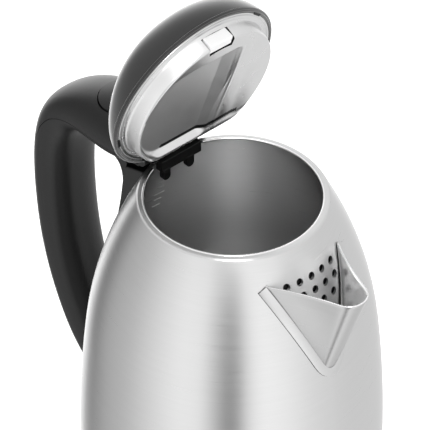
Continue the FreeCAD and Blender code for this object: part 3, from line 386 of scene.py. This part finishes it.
def spout_section(height):
    """Reach of the nose, its radius and the cheeks' angle at a height."""
    share = (SPOUT_TOP - height) / SPOUT_SPAN
    return (NOSE_REACH - NOSE_REACH_FALL * share, NOSE_RADIUS - NOSE_RADIUS_FALL * share,
            math.radians(CHEEK_ANGLE + CHEEK_ANGLE_RISE * share))


def cheek_foot(height):
    """Where the cheek on the +Y side leaves the nose, and where it meets the body, at a height."""
    reach, radius, angle = spout_section(height)
    start = Vector((reach - radius + radius * math.sin(angle), radius * math.cos(angle)))
    along = Vector((-math.cos(angle), math.sin(angle)))
    half = start.dot(along)
    spare = half ** 2 - start.dot(start) + body_radius(height) ** 2
    return start, start + along * max(-half - math.sqrt(max(spare, 0.0)), 0.0)


def spout_point(share, height):
    """A point of the sheet at a height, with share from 0 at one cheek's foot to 1 at the other's."""
    reach, radius, angle = spout_section(height)
    side = 1 if share > 0.5 else -1
    apart = abs(share - 0.5) * 2
    start, foot = cheek_foot(height)
    if apart > NOSE_SHARE:
        run = (apart - NOSE_SHARE) / (1 - NOSE_SHARE)
        point = start.lerp(foot, run)
        dish = CHEEK_DISH * math.sin(math.pi * run) * min((foot - start).length / DISH_FULL, 1.0) ** 2
        point -= Vector((math.sin(angle), math.cos(angle))) * dish
    else:
        turn = (math.pi / 2 - angle) * apart / NOSE_SHARE
        point = Vector((reach - radius + radius * math.cos(turn), radius * math.sin(turn)))
    return Vector((point.x, point.y * side, height))


heel = SPOUT_TOP
while spout_section(heel)[0] > body_radius(heel) + HEEL_PROUD:
    heel -= HEEL_STEP
spout_rows = []
for depth in steps(0, 1, SPOUT_LEVELS):
    line = []
    for share in steps(0, 1, 60):
        height = SPOUT_TOP + (heel - SPOUT_TOP) * depth
        for _ in range(LIP_ROUNDS):
            point = spout_point(share, height)
            lip = LIP_Z + (point.x - LIP_X) * LIP_TILT
            height = lip + (heel - lip) * depth
        line.append(point)
    spout_rows.append(line)
beak_mesh = skin("spout_sheet", spout_rows)
spout_steel = brushed_steel("brushed_spout_steel", tone=0.5, roughness=0.30,
                            line_height=0.015 * MM, stretch=0.3)
# Inside of the beak: the same brushed steel in a much lighter tone, as painted light.
spout_inside_painted_light_steel = brushed_steel("brushed_spout_inside_painted_light_steel", tone=0.95, roughness=0.34,
                                   line_height=0.015 * MM, stretch=0.3)
spout_sheet = show("spout_sheet", beak_mesh, spout_inside_painted_light_steel)
for outer_finish in (bright_steel, spout_steel):
    beak_mesh.materials.append(outer_finish)
sheet_thickness = spout_sheet.modifiers.new("thickness", "SOLIDIFY")
sheet_thickness.thickness = SPOUT_SHEET * MM
sheet_thickness.offset = -1.0
sheet_thickness.material_offset_rim = 1
sheet_thickness.material_offset = 2
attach(spout_sheet, "jug")
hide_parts("spout_beak")

# Flange of the spout: a flat border of the same steel, raised from the body, that follows the
# cheeks' feet and rounds the heel.

FLANGE_PROFILE = ((-0.8, 0.35), (0.0, 0.7), (0.5, 0.75), (3.9, 0.75), (4.35, 0.6), (4.5, 0.2), (4.5, -0.2))
FLANGE_TIP = 6.0
TIP_COURSE = 6
lip_foot = spout_rows[0][0].z
near_path = []
for height in steps(lip_foot, heel + FLANGE_TIP, 40):
    foot = cheek_foot(height)[1]
    near_path.append((math.atan2(-foot.y, foot.x), height))
tip_turn, tip_height = near_path[-1]
course_turn, course_height = near_path[-TIP_COURSE]
tip_fall = (course_height - tip_height) * tip_turn / (course_turn - tip_turn)
tip_path = [(tip_turn * (1 - 2 * share), tip_height - 2 * share * (1 - share) * tip_fall)
            for share in steps(0, 1, 16)]


def flange_point(turn, height, outward, run, rise):
    """A point on the body, run along its surface from a point of the path and raised by rise."""
    radius = body_radius(height)
    moved = height + outward.y * run
    turned = turn + outward.x * run / radius
    return polar(body_radius(moved) + rise, turned, moved)


def sideways(points):
    """Each point of a path on the body with the direction across it, to the left of its course."""
    found = []
    for index, (turn, height) in enumerate(points):
        before, after = points[max(index - 1, 0)], points[min(index + 1, len(points) - 1)]
        course = Vector(((after[0] - before[0]) * body_radius(height), after[1] - before[1])).normalized()
        found.append((turn, height, Vector((course.y, -course.x))))
    return found


far_path = [(-turn, height) for turn, height in reversed(near_path[:-1])]
flange_path = sideways(near_path[:-1] + tip_path + far_path)
flange_rows = [[flange_point(turn, height, outward, run, rise) for run, rise in FLANGE_PROFILE]
               for turn, height, outward in flange_path]
flange_mesh = skin("spout_flange", flange_rows)
spout_flange = show("spout_flange", flange_mesh, body_steel, crease=30.0)
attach(spout_flange, "jug")

# Joints of the spout: a black strip as painted shade in the open seam where the far cheek meets the strainer,
# and another as painted shade in the fine gap round the edge of the flange.

SEAM_SHADE_END = 0.9
SEAM_SHADE_RISE, SEAM_SHADE_DROP = 0.35, 0.3
SEAM_SHADE_RUNS = ((0.7, 0.0), (1.1, 0.8), (1.5, 2.0))
EDGE_SHADE_RUNS, EDGE_SHADE_RISE = (4.45, 4.55, 4.66), 0.08
seam_shade_rows = []
for depth in steps(0.0, SEAM_SHADE_END, 24):
    point = spout_rows[0][-1].lerp(Vector((0, 0, heel)), depth)
    foot = cheek_foot(point.z)[1]
    turn = math.atan2(foot.y, foot.x)
    radius = body_radius(point.z)
    seam_shade_rows.append([polar(radius + SEAM_SHADE_RISE, turn - (run + widening * depth) / radius, point.z - SEAM_SHADE_DROP)
                      for run, widening in SEAM_SHADE_RUNS])
edge_shade_rows = [[flange_point(turn, height, outward, run, EDGE_SHADE_RISE) for run in EDGE_SHADE_RUNS]
             for turn, height, outward in flange_path]
seam_shade_mesh = joined("spout_seam_shade", (skin("cheek_seam_shade", seam_shade_rows), skin("flange_edge_shade", edge_shade_rows)))
# Both strips are black plastic that stands for the shade in the gaps.
spout_seam_shade = show("spout_seam_shade", seam_shade_mesh, black_plastic)
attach(spout_seam_shade, "jug")

# Handle: two hollow halves of satin charcoal plastic that meet along a seam, with the release
# button let into the top of the arm and the power switch at the foot of the grip.

handle_plastic = moulded_plastic("handle_satin_plastic", tone=0.004, roughness=0.40,
                                 grain_size=0.3 * MM, grain_height=0.015 * MM)
dress(handle_plastic, "handle_outer_shell", "handle_inner_shell", "lid_release_button", "switch_lever")

# Liner in the grip: a thin tongue of black plastic between the two halves, which stands behind
# their seam, so that no light shows through it.

LINER_FOOT, LINER_TOP = 75.0, 190.0
LINER_INSET = 4.5
LINER_SHEET = 0.8
SLICE_HALF = 5.0
GRIP_FRONT = -95.0
grip_spots = [vertex.co / MM for half in ("handle_outer_shell", "handle_inner_shell")
              for vertex in nodes[half].data.vertices]
liner_rows = []
for height in steps(LINER_FOOT, LINER_TOP, 23):
    grip_x = [spot.x for spot in grip_spots if abs(spot.z - height) < SLICE_HALF and spot.x < GRIP_FRONT]
    liner_rows.append([Vector((min(grip_x) + LINER_INSET, 0.0, height)),
                       Vector((max(grip_x) - LINER_INSET, 0.0, height))])
liner_mesh = skin("grip_liner", liner_rows)
grip_liner = show("grip_liner", liner_mesh, black_plastic)
liner_sheet = grip_liner.modifiers.new("thickness", "SOLIDIFY")
liner_sheet.thickness = LINER_SHEET * MM
liner_sheet.offset = 0.0
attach(grip_liner, "jug")

# Root of the arm: a wedge of the handle's plastic that stands against the body under the arm,
# with its edges rounded, and a fillet in the corner between the two.

ROUND_ANGLE = math.radians(40)
ROOT_ROUND = 3.0
WELD = 0.002
FLAT_ANGLE = math.radians(1.0)


def soften(piece, width, segments=3):
    """Round the sharp edges of a piece."""
    bevel = piece.modifiers.new("edge_round", "BEVEL")
    bevel.width = width * MM
    bevel.segments = segments
    bevel.limit_method = "ANGLE"
    bevel.angle_limit = ROUND_ANGLE
    bevel.harden_normals = True


def welded(node):
    """A copy of a node's mesh with its corners joined and its flat faces made whole."""
    shape = bmesh.new()
    shape.from_mesh(nodes[node].data)
    bmesh.ops.remove_doubles(shape, verts=shape.verts, dist=WELD * MM)
    bmesh.ops.dissolve_limit(shape, angle_limit=FLAT_ANGLE, verts=shape.verts, edges=shape.edges)
    mesh = bpy.data.meshes.new(node + "_skin")
    shape.to_mesh(mesh)
    shape.free()
    return mesh


root_skin = show("root_wedge", welded("handle_root"), handle_plastic, crease=30.0)
soften(root_skin, ROOT_ROUND, 5)
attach(root_skin, "jug")
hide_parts("handle_root")

FILLET_ARM = Vector((-76.0, 200.5))
FILLET_CORNER = Vector((-66.0, 201.3))
FILLET_WEDGE = Vector((-66.9, 187.0))
FILLET_HEART = Vector((-62.0, 204.5))
FILLET_SIDES = ((12.9, 0.0), (12.9, 0.8), (12.4, 0.93), (11.0, 1.0), (5.5, 1.0))
FILLET_HALF, FILLET_LIFT = 12, 1.5
fillet_rows = []
far_sides = [(-side, size) for side, size in FILLET_SIDES]
for across, size in far_sides + [(0.0, 1.0)] + list(reversed(FILLET_SIDES)):
    lift = FILLET_LIFT * (across / FILLET_HALF) ** 2
    line = [Vector((FILLET_HEART.x, across, FILLET_HEART.y))]
    for share in steps(0, 1, 14):
        spot = FILLET_ARM.lerp(FILLET_CORNER, share).lerp(FILLET_CORNER.lerp(FILLET_WEDGE, share), share)
        spot = FILLET_HEART.lerp(spot, size)
        line.append(Vector((spot.x, across, spot.y + lift * (1 - share))))
    fillet_rows.append(line)
fillet_mesh = skin("root_fillet", fillet_rows, wrap=True)
root_fillet = show("root_fillet", fillet_mesh, handle_plastic, crease=50.0)
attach(root_fillet, "jug")

# Hinge bracket: a black moulding that plugs into the arm of the handle. Two ears carry the pin,
# and a bar with two round-ended prongs hangs over the edge of the mouth.

BRACKET_BLOCKS = (
    ((-55.7, -20.0, 216.4), (-50.3, 20.0, 224.4)),
    ((-50.9, -14.2, 216.3), (-41.0, 14.2, 217.2)),
    ((-50.9, -20.0, 216.4), (-44.5, -14.2, 224.2)),
    ((-50.9, 14.2, 216.4), (-44.5, 20.0, 224.2)),
    ((-43.2, -10.6, 210.8), (-38.6, 14.6, 217.2)),
    ((-41.4, -9.9, 207.6), (-38.4, -5.1, 212.0)),
    ((-41.4, 5.1, 207.6), (-38.4, 9.9, 212.0)),
)
BRACKET_RODS = (
    ((-44.5, -20.0, 222.2), (-44.5, -14.2, 222.2), 5.0),
    ((-44.5, 14.2, 222.2), (-44.5, 20.0, 222.2), 5.0),
    ((-41.4, -7.5, 207.6), (-38.4, -7.5, 207.6), 2.4),
    ((-41.4, 7.5, 207.6), (-38.4, 7.5, 207.6), 2.4),
)
BRACKET_ROUND = 0.5


def blocks(name, boxes, rods=()):
    """A mesh of boxes between two corners and of rods between two ends, in millimetres."""
    shape = bmesh.new()
    for low, high in boxes:
        low, high = Vector(low) * MM, Vector(high) * MM
        place = Matrix.Translation((low + high) / 2) @ Matrix.Diagonal((*(high - low), 1.0))
        bmesh.ops.create_cube(shape, size=1.0, matrix=place)
    for start, end, radius in rods:
        start, end = Vector(start) * MM, Vector(end) * MM
        turn = (end - start).to_track_quat("Z", "Y").to_matrix().to_4x4()
        bmesh.ops.create_cone(shape, cap_ends=True, segments=32, radius1=radius * MM, radius2=radius * MM,
                              depth=(end - start).length, matrix=Matrix.Translation((start + end) / 2) @ turn)
    mesh = bpy.data.meshes.new(name)
    shape.to_mesh(mesh)
    shape.free()
    return mesh


bracket_mesh = blocks("hinge_moulding", BRACKET_BLOCKS, BRACKET_RODS)
hinge_moulding = show("hinge_moulding", bracket_mesh, black_plastic)
soften(hinge_moulding, BRACKET_ROUND)
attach(hinge_moulding, "jug")
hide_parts("hinge_bracket")

# Lid: a dome of satin charcoal plastic, lower towards the hinge, with a stepped lip round its
# edge. A black frame inside it carries the knuckles of the hinge.


def ease(value, low, high):
    """A smooth rise from 0 at low to 1 at high."""
    share = min(max((value - low) / (high - low), 0.0), 1.0)
    return share * share * (3 - 2 * share)


HINGE = Vector((-44.5, 0.0, 222.2)) * MM
LID_ANGLE = 73.5
lid_open = (Matrix.Translation(HINGE) @ Matrix.Rotation(math.radians(-LID_ANGLE), 4, "Y")
            @ Matrix.Translation(-HINGE))
DOME_FOOT = 217.28
NOTCH_TOP = 228.98
NOTCH_HALF, NOTCH_SIDE = 20.8, 30.0
NOTCH_FRONT, NOTCH_BACK = 26.0, 38.0
DOME_SWELL, DOME_FALL = 0.12, 0.48
FALL_FRONT, FALL_BACK = -34.0, 24.0
dome_plastic = moulded_plastic("dome_satin_plastic", tone=0.02, roughness=0.33,
                               grain_size=0.3 * MM, grain_height=0.015 * MM, sheen=0.9)
dome_mesh = welded("lid_dome")
dome_mesh.transform(lid_open.inverted())
for vertex in dome_mesh.vertices:
    spot = vertex.co / MM
    at_notch = ease(-spot.x, NOTCH_FRONT, NOTCH_BACK) * (1 - ease(abs(spot.y), NOTCH_HALF, NOTCH_SIDE))
    level = DOME_FOOT + (NOTCH_TOP - DOME_FOOT) * at_notch
    if spot.z > level:
        change = DOME_SWELL - DOME_FALL * ease(-spot.x, FALL_FRONT, FALL_BACK)
        vertex.co.z += (spot.z - level) * change * MM
dome_mesh.transform(lid_open)
dome_skin = show("dome_skin", dome_mesh, dome_plastic, crease=30.0)
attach(dome_skin, "lid")
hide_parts("lid_dome")
dress(black_plastic, "lid_frame")

LIP_PROFILE = ((44.5, 217.6), (44.5, 216.9), (44.8, 216.6), (45.5, 216.55), (45.7, 216.8), (46.0, 216.85),
               (46.45, 216.9), (46.75, 217.2), (46.8, 217.9), (46.5, 218.2))
LIP_END = math.radians(152.0)
lip_mesh = skin("dome_lip", [[polar(radius, turn, height) for radius, height in LIP_PROFILE]
                             for turn in steps(-LIP_END, LIP_END, 160)])
lip_mesh.transform(lid_open)
dome_lip = show("dome_lip", lip_mesh, dome_plastic, crease=30.0)
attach(dome_lip, "lid")

# Pan under the lid: one stamped sheet of polished steel, with a rolled flange, a cup that is
# flat at the back, and a hollow in its floor that rises by a slope to a flat panel on the right.
# The hollow is satin, and along its back fold a near-black band of the steel is painted shade.

PAN_RINGS = (
    (44.3, 37.9, 217.2), (44.3, 37.9, 216.6), (44.1, 37.7, 216.4), (43.4, 37.0, 216.4),
    (43.15, 36.75, 216.6), (42.7, 36.3, 216.75), (42.2, 35.8, 216.6), (41.95, 35.5, 216.4),
    (41.2, 34.4, 216.4), (40.7, 33.6, 216.25), (40.4, 33.2, 215.7), (40.2, 33.1, 214.7),
    (39.9, 32.9, 212.6), (39.6, 32.3, 210.9), (39.35, 31.5, 209.8), (39.2, 30.7, 209.1),
    (38.9, 29.9, 208.65), (38.4, 29.0, 208.4),
)
PAN_COLUMNS = 272
WINDOW_COLUMNS = 16
WINDOW_TOP_RING = 11
WINDOW_TURN = math.radians(10.9)
WINDOW_BACK = 35.0
CORNER_ROUND = 3.0
BACK_LEAST, FAR_OFF = 0.1, 10
PAN_FLOOR = 208.4
PAN_HEART = 0.003
HOLLOW_DEPTH = 3.2
HOLLOW_BACK, HOLLOW_FRONT, HOLLOW_RADIUS = 28.4, 29.0, 37.5
BACK_ROUND, FRONT_ROUND = 3.0, 6.0
HOLLOW_EDGE = (-0.2, 1.3)
REAR_SLOPE = 0.36
CREASE_SIDE, CREASE_AT, CREASE_LEAN = 12.5, -15.0, 0.0745
FOOT_SIDE, FOOT_AT, FOOT_LEAN = 2.0, -24.0, 0.094
SLOPE_CURVE = 1.5
PANEL_DEPTH = 1.3
PANEL_EDGE = (-0.2, 1.2)
PANEL_RIGHT = (22.0, 34.0)
PANEL_FRONT = (-20.0, 20.0)
CREASE_RIDGE, RIDGE_WIDTH = 0.25, 0.7
RIDGE_EDGE = (0.0, 2.0)
HOLLOW_LEAST = PANEL_DEPTH / 2
FLOOR_SPARE = 0.1
FOLD_SHADE_BACK, FOLD_SHADE_FRONT, FOLD_SHADE_LEFT, FOLD_SHADE_RIGHT = -25.6, -23.4, -20.0, 26.0
SATIN_RIGHT = 15.0
FLOOR_RINGS = 84


def soft_min(first, second, rounding):
    """The smaller of two lengths, rounded where they are nearly equal."""
    near = max(rounding - abs(first - second), 0.0) / rounding
    return min(first, second) - near * near * rounding / 4


def pan_edge(turn, radius, chord):
    """Distance from the middle to a ring of the pan, which is flat at the back."""
    back = -math.cos(turn)
    flat = chord / back if back > BACK_LEAST else FAR_OFF * radius
    return soft_min(radius, flat, CORNER_ROUND)


def stamped(x, y):
    """Depth of the hollow in the pan's floor."""
    rear = (x + HOLLOW_BACK) * REAR_SLOPE
    inside = soft_min(rear, HOLLOW_RADIUS - math.hypot(x, y), BACK_ROUND)
    inside = soft_min(inside, HOLLOW_FRONT - x, FRONT_ROUND)
    crease = CREASE_SIDE + (x - CREASE_AT) * CREASE_LEAN
    foot = FOOT_SIDE + (x - FOOT_AT) * FOOT_LEAN
    slope = min(max((crease - y) / (crease - foot), 0.0), 1.0)
    hollow = HOLLOW_DEPTH * ease(inside, *HOLLOW_EDGE) * slope ** SLOPE_CURVE
    panel = PANEL_DEPTH * ease(rear, *PANEL_EDGE) * (1 - ease(y, *PANEL_RIGHT)) * (1 - ease(x, *PANEL_FRONT))
    ridge = CREASE_RIDGE * math.exp(-((y - crease) / RIDGE_WIDTH) ** 2) * ease(inside, *RIDGE_EDGE)
    return max(hollow, panel) - ridge


window_turns = steps(-WINDOW_TURN, WINDOW_TURN, WINDOW_COLUMNS)
pan_turns = window_turns + steps(WINDOW_TURN, math.tau - WINDOW_TURN, PAN_COLUMNS)[1:-1]
pan_rows = [[polar(pan_edge(turn, radius, chord), turn, height) for turn in pan_turns]
            for radius, chord, height in PAN_RINGS]
for share in steps(1.0, PAN_HEART, FLOOR_RINGS)[1:]:
    line = []
    for turn in pan_turns:
        spot = polar(pan_edge(turn, *PAN_RINGS[-1][:2]) * share, turn, PAN_FLOOR)
        spot.z += stamped(spot.x, spot.y)
        line.append(spot)
    pan_rows.append(line)


def outside_window(row, column):
    """Whether a face of the pan is kept, or lies in the latch's window."""
    in_window = column < WINDOW_COLUMNS and row >= WINDOW_TOP_RING
    return not (in_window and pan_rows[row][WINDOW_COLUMNS // 2].x > WINDOW_BACK)


pan_mesh = skin("pan_sheet", pan_rows, wrap=True, keep=outside_window)
pan_steel = bare_metal("pan_polished_steel", grey(0.72), roughness=0.3, speckle_size=6 * MM)
# Near-black copy of the pan's steel, painted as a shadow line along the back fold of the hollow.
fold_painted_shade_steel = bare_metal("pan_fold_painted_shade_steel", grey(0.07), roughness=0.3, speckle_size=6 * MM)
satin_steel = bare_metal("pan_satin_steel", grey(0.68), roughness=0.5, speckle_size=6 * MM)
POLISHED, FOLD_SHADE, SATIN = range(3)
pan_finish = []
for face in pan_mesh.polygons:
    spot = face.center / MM
    finish = POLISHED
    if stamped(spot.x, spot.y) > HOLLOW_LEAST and spot.z < PAN_FLOOR + HOLLOW_DEPTH + FLOOR_SPARE:
        # Faces in this band along the back fold take the painted shadow.
        if FOLD_SHADE_BACK < spot.x < FOLD_SHADE_FRONT and FOLD_SHADE_LEFT < spot.y < FOLD_SHADE_RIGHT:
            finish = FOLD_SHADE
        elif spot.x > FOLD_SHADE_BACK and spot.y < SATIN_RIGHT:
            finish = SATIN
    pan_finish.append(finish)
pan_mesh.transform(lid_open)
pan_sheet = show("pan_sheet", pan_mesh, pan_steel, crease=60.0)
for other_finish in (fold_painted_shade_steel, satin_steel):
    pan_mesh.materials.append(other_finish)
pan_mesh.polygons.foreach_set("material_index", pan_finish)
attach(pan_sheet, "lid")
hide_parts("lid_pan")

# Latch at the front of the lid: a tab of pale plastic that slides in a black guide behind the
# pan's window. Four black clips hold the pan's flange to the dome. The steam tube in the handle
# is of the tab's plastic.

TAB_BLOCKS = (((35.5, -7.1, 208.55), (40.5, 6.0, 214.5)), ((30.0, -3.0, 213.4), (36.0, 3.0, 214.4)))
GUIDE_BLOCKS = (((28.0, -8.6, 209.4), (37.6, -7.6, 215.6)), ((28.0, 6.5, 209.4), (37.6, 8.6, 215.6)),
                ((28.0, -8.6, 214.9), (37.6, 8.6, 215.6)), ((28.0, -8.6, 209.4), (29.0, 8.6, 212.9)))
GUIDE_ROUND, TAB_ROUND = 0.2, 0.6
CLIP_BLOCK = ((43.7, -3.2, 216.35), (45.0, 3.2, 217.0))
CLIP_TURNS = (-152.0, -106.0, 41.0, 118.0)
guide_parts = [blocks("guide_walls", GUIDE_BLOCKS)]
for clip in CLIP_TURNS:
    clip_mesh = blocks("pan_clip", (CLIP_BLOCK,))
    clip_mesh.transform(Matrix.Rotation(math.radians(clip), 4, "Z"))
    guide_parts.append(clip_mesh)
guide_mesh = joined("latch_guide", guide_parts)
guide_mesh.transform(lid_open)
latch_guide = show("latch_guide", guide_mesh, black_plastic)
soften(latch_guide, GUIDE_ROUND)
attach(latch_guide, "lid")

pale_plastic = moulded_plastic("pale_latch_plastic", tone=0.75, roughness=0.35,
                               grain_size=0.4 * MM, grain_height=0.01 * MM)
tab_mesh = blocks("latch_tab", TAB_BLOCKS)
tab_mesh.transform(lid_open)
latch_tab = show("latch_tab", tab_mesh, pale_plastic)
soften(latch_tab, TAB_ROUND)
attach(latch_tab, "latch")
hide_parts("lid_latch_bolt")
dress(pale_plastic, "steam_tube")

# Studio: a wide pale floor, and a white room lit in soft upright bands, which is dark behind the
# camera. A lamp hangs above the camera, which looks down into the open kettle.

FLOOR_HALF = 3.0
floor_mesh = bpy.data.meshes.new("studio_floor")
floor_mesh.from_pydata([(-FLOOR_HALF, -FLOOR_HALF, 0), (FLOOR_HALF, -FLOOR_HALF, 0),
                        (FLOOR_HALF, FLOOR_HALF, 0), (-FLOOR_HALF, FLOOR_HALF, 0)], [], [(0, 1, 2, 3)])
floor = bpy.data.objects.new("studio_floor", floor_mesh)
bpy.context.scene.collection.objects.link(floor)
floor_paint = new_finish("pale_floor_paint", Base_Color=grey(0.9), Roughness=0.9, Emission_Color=grey(1.0),
                         Emission_Strength=0.4)[0]
floor_mesh.materials.append(floor_paint)
floor.visible_glossy = False

CAMERA_BACK = Vector((0.5602, -0.5044, 0.6571))
CAMERA_PLACE = Vector((0.4914, -0.4539, 0.7865))
LENS, SENSOR, FAR_CLIP = 158.3, 36.0, 20.0
RIGHT_LIGHT = ((0.0, 0.11), (0.02, 0.14), (0.045, 0.31), (0.08, 0.45), (0.13, 0.50), (0.22, 0.47),
               (0.33, 0.39), (0.5, 0.33), (0.82, 0.31), (0.92, 0.5), (1.0, 0.9))
LEFT_LIGHT = ((0.0, 0.11), (0.03, 0.12), (0.075, 0.28), (0.13, 0.45), (0.22, 0.47), (0.33, 0.38),
              (0.46, 0.26), (0.61, 0.20), (0.70, 0.09), (0.75, 0.06), (0.79, 0.42), (0.85, 0.65),
              (0.92, 0.8), (1.0, 0.9))
ROOM_STRENGTH = 2.84
ROOM_TOP, BACKDROP = 0.36, 0.36
TOP_START, TOP_END = 0.05, 0.7
LAMP_LEVEL = 4.2
LAMP_START, LAMP_END = 0.5, 0.8
LAMP_EDGE, LAMP_HEART = 0.10, 0.01


def smooth_rise(value, low, high):
    """A value's smooth rise from 0 at low to 1 at high."""
    return value.node("ShaderNodeMapRange", {"interpolation_type": "SMOOTHSTEP"},
                      {"Value": value, "From Min": low, "From Max": high})


room = bpy.data.worlds.new("white_room")
bpy.context.scene.world = room
room.use_nodes = True
background = room.node_tree.nodes["Background"]
sight = Value(room.node_tree).node("ShaderNodeTexCoord", out="Generated")
sight_x, sight_y, sight_z = (sight.node("ShaderNodeSeparateXYZ", links={0: sight}, out=axis)
                             for axis in "XYZ")
toward_camera = math.atan2(CAMERA_BACK.y, CAMERA_BACK.x)
turned_x = sight_x * math.cos(toward_camera) + sight_y * math.sin(toward_camera)
turned_y = sight_y * math.cos(toward_camera) - sight_x * math.sin(toward_camera)
aside = turned_y.math("ABSOLUTE").math("ARCTAN2", turned_x) * (1 / math.pi)
right_light, left_light = (aside.node("ShaderNodeValToRGB", {"stops": stops}, {"Fac": aside})
                           for stops in (RIGHT_LIGHT, LEFT_LIGHT))
around_light = blend(turned_y.math("LESS_THAN", 0.0), right_light, left_light)
room_light = blend(smooth_rise(sight_z, TOP_START, TOP_END), around_light, grey(ROOM_TOP))
lamp_share = smooth_rise(sight_z, LAMP_START, LAMP_END) * smooth_rise(aside, LAMP_EDGE, LAMP_HEART)
light = blend(lamp_share, room_light, grey(LAMP_LEVEL))
seen = light.node("ShaderNodeLightPath", out="Is Camera Ray")
feed(background, "Color", blend(seen, light, grey(BACKDROP)))
background.inputs["Strength"].default_value = ROOM_STRENGTH

camera_data = bpy.data.cameras.new("camera")
camera = bpy.data.objects.new("camera", camera_data)
bpy.context.scene.collection.objects.link(camera)
bpy.context.scene.camera = camera
camera_data.sensor_width = SENSOR
camera_data.lens = LENS
camera_data.clip_end = FAR_CLIP
camera.location = CAMERA_PLACE
camera.rotation_mode = "QUATERNION"
camera.rotation_quaternion = (-CAMERA_BACK).to_track_quat("-Z", "Y")
bpy.context.scene.view_settings.view_transform = "Standard"
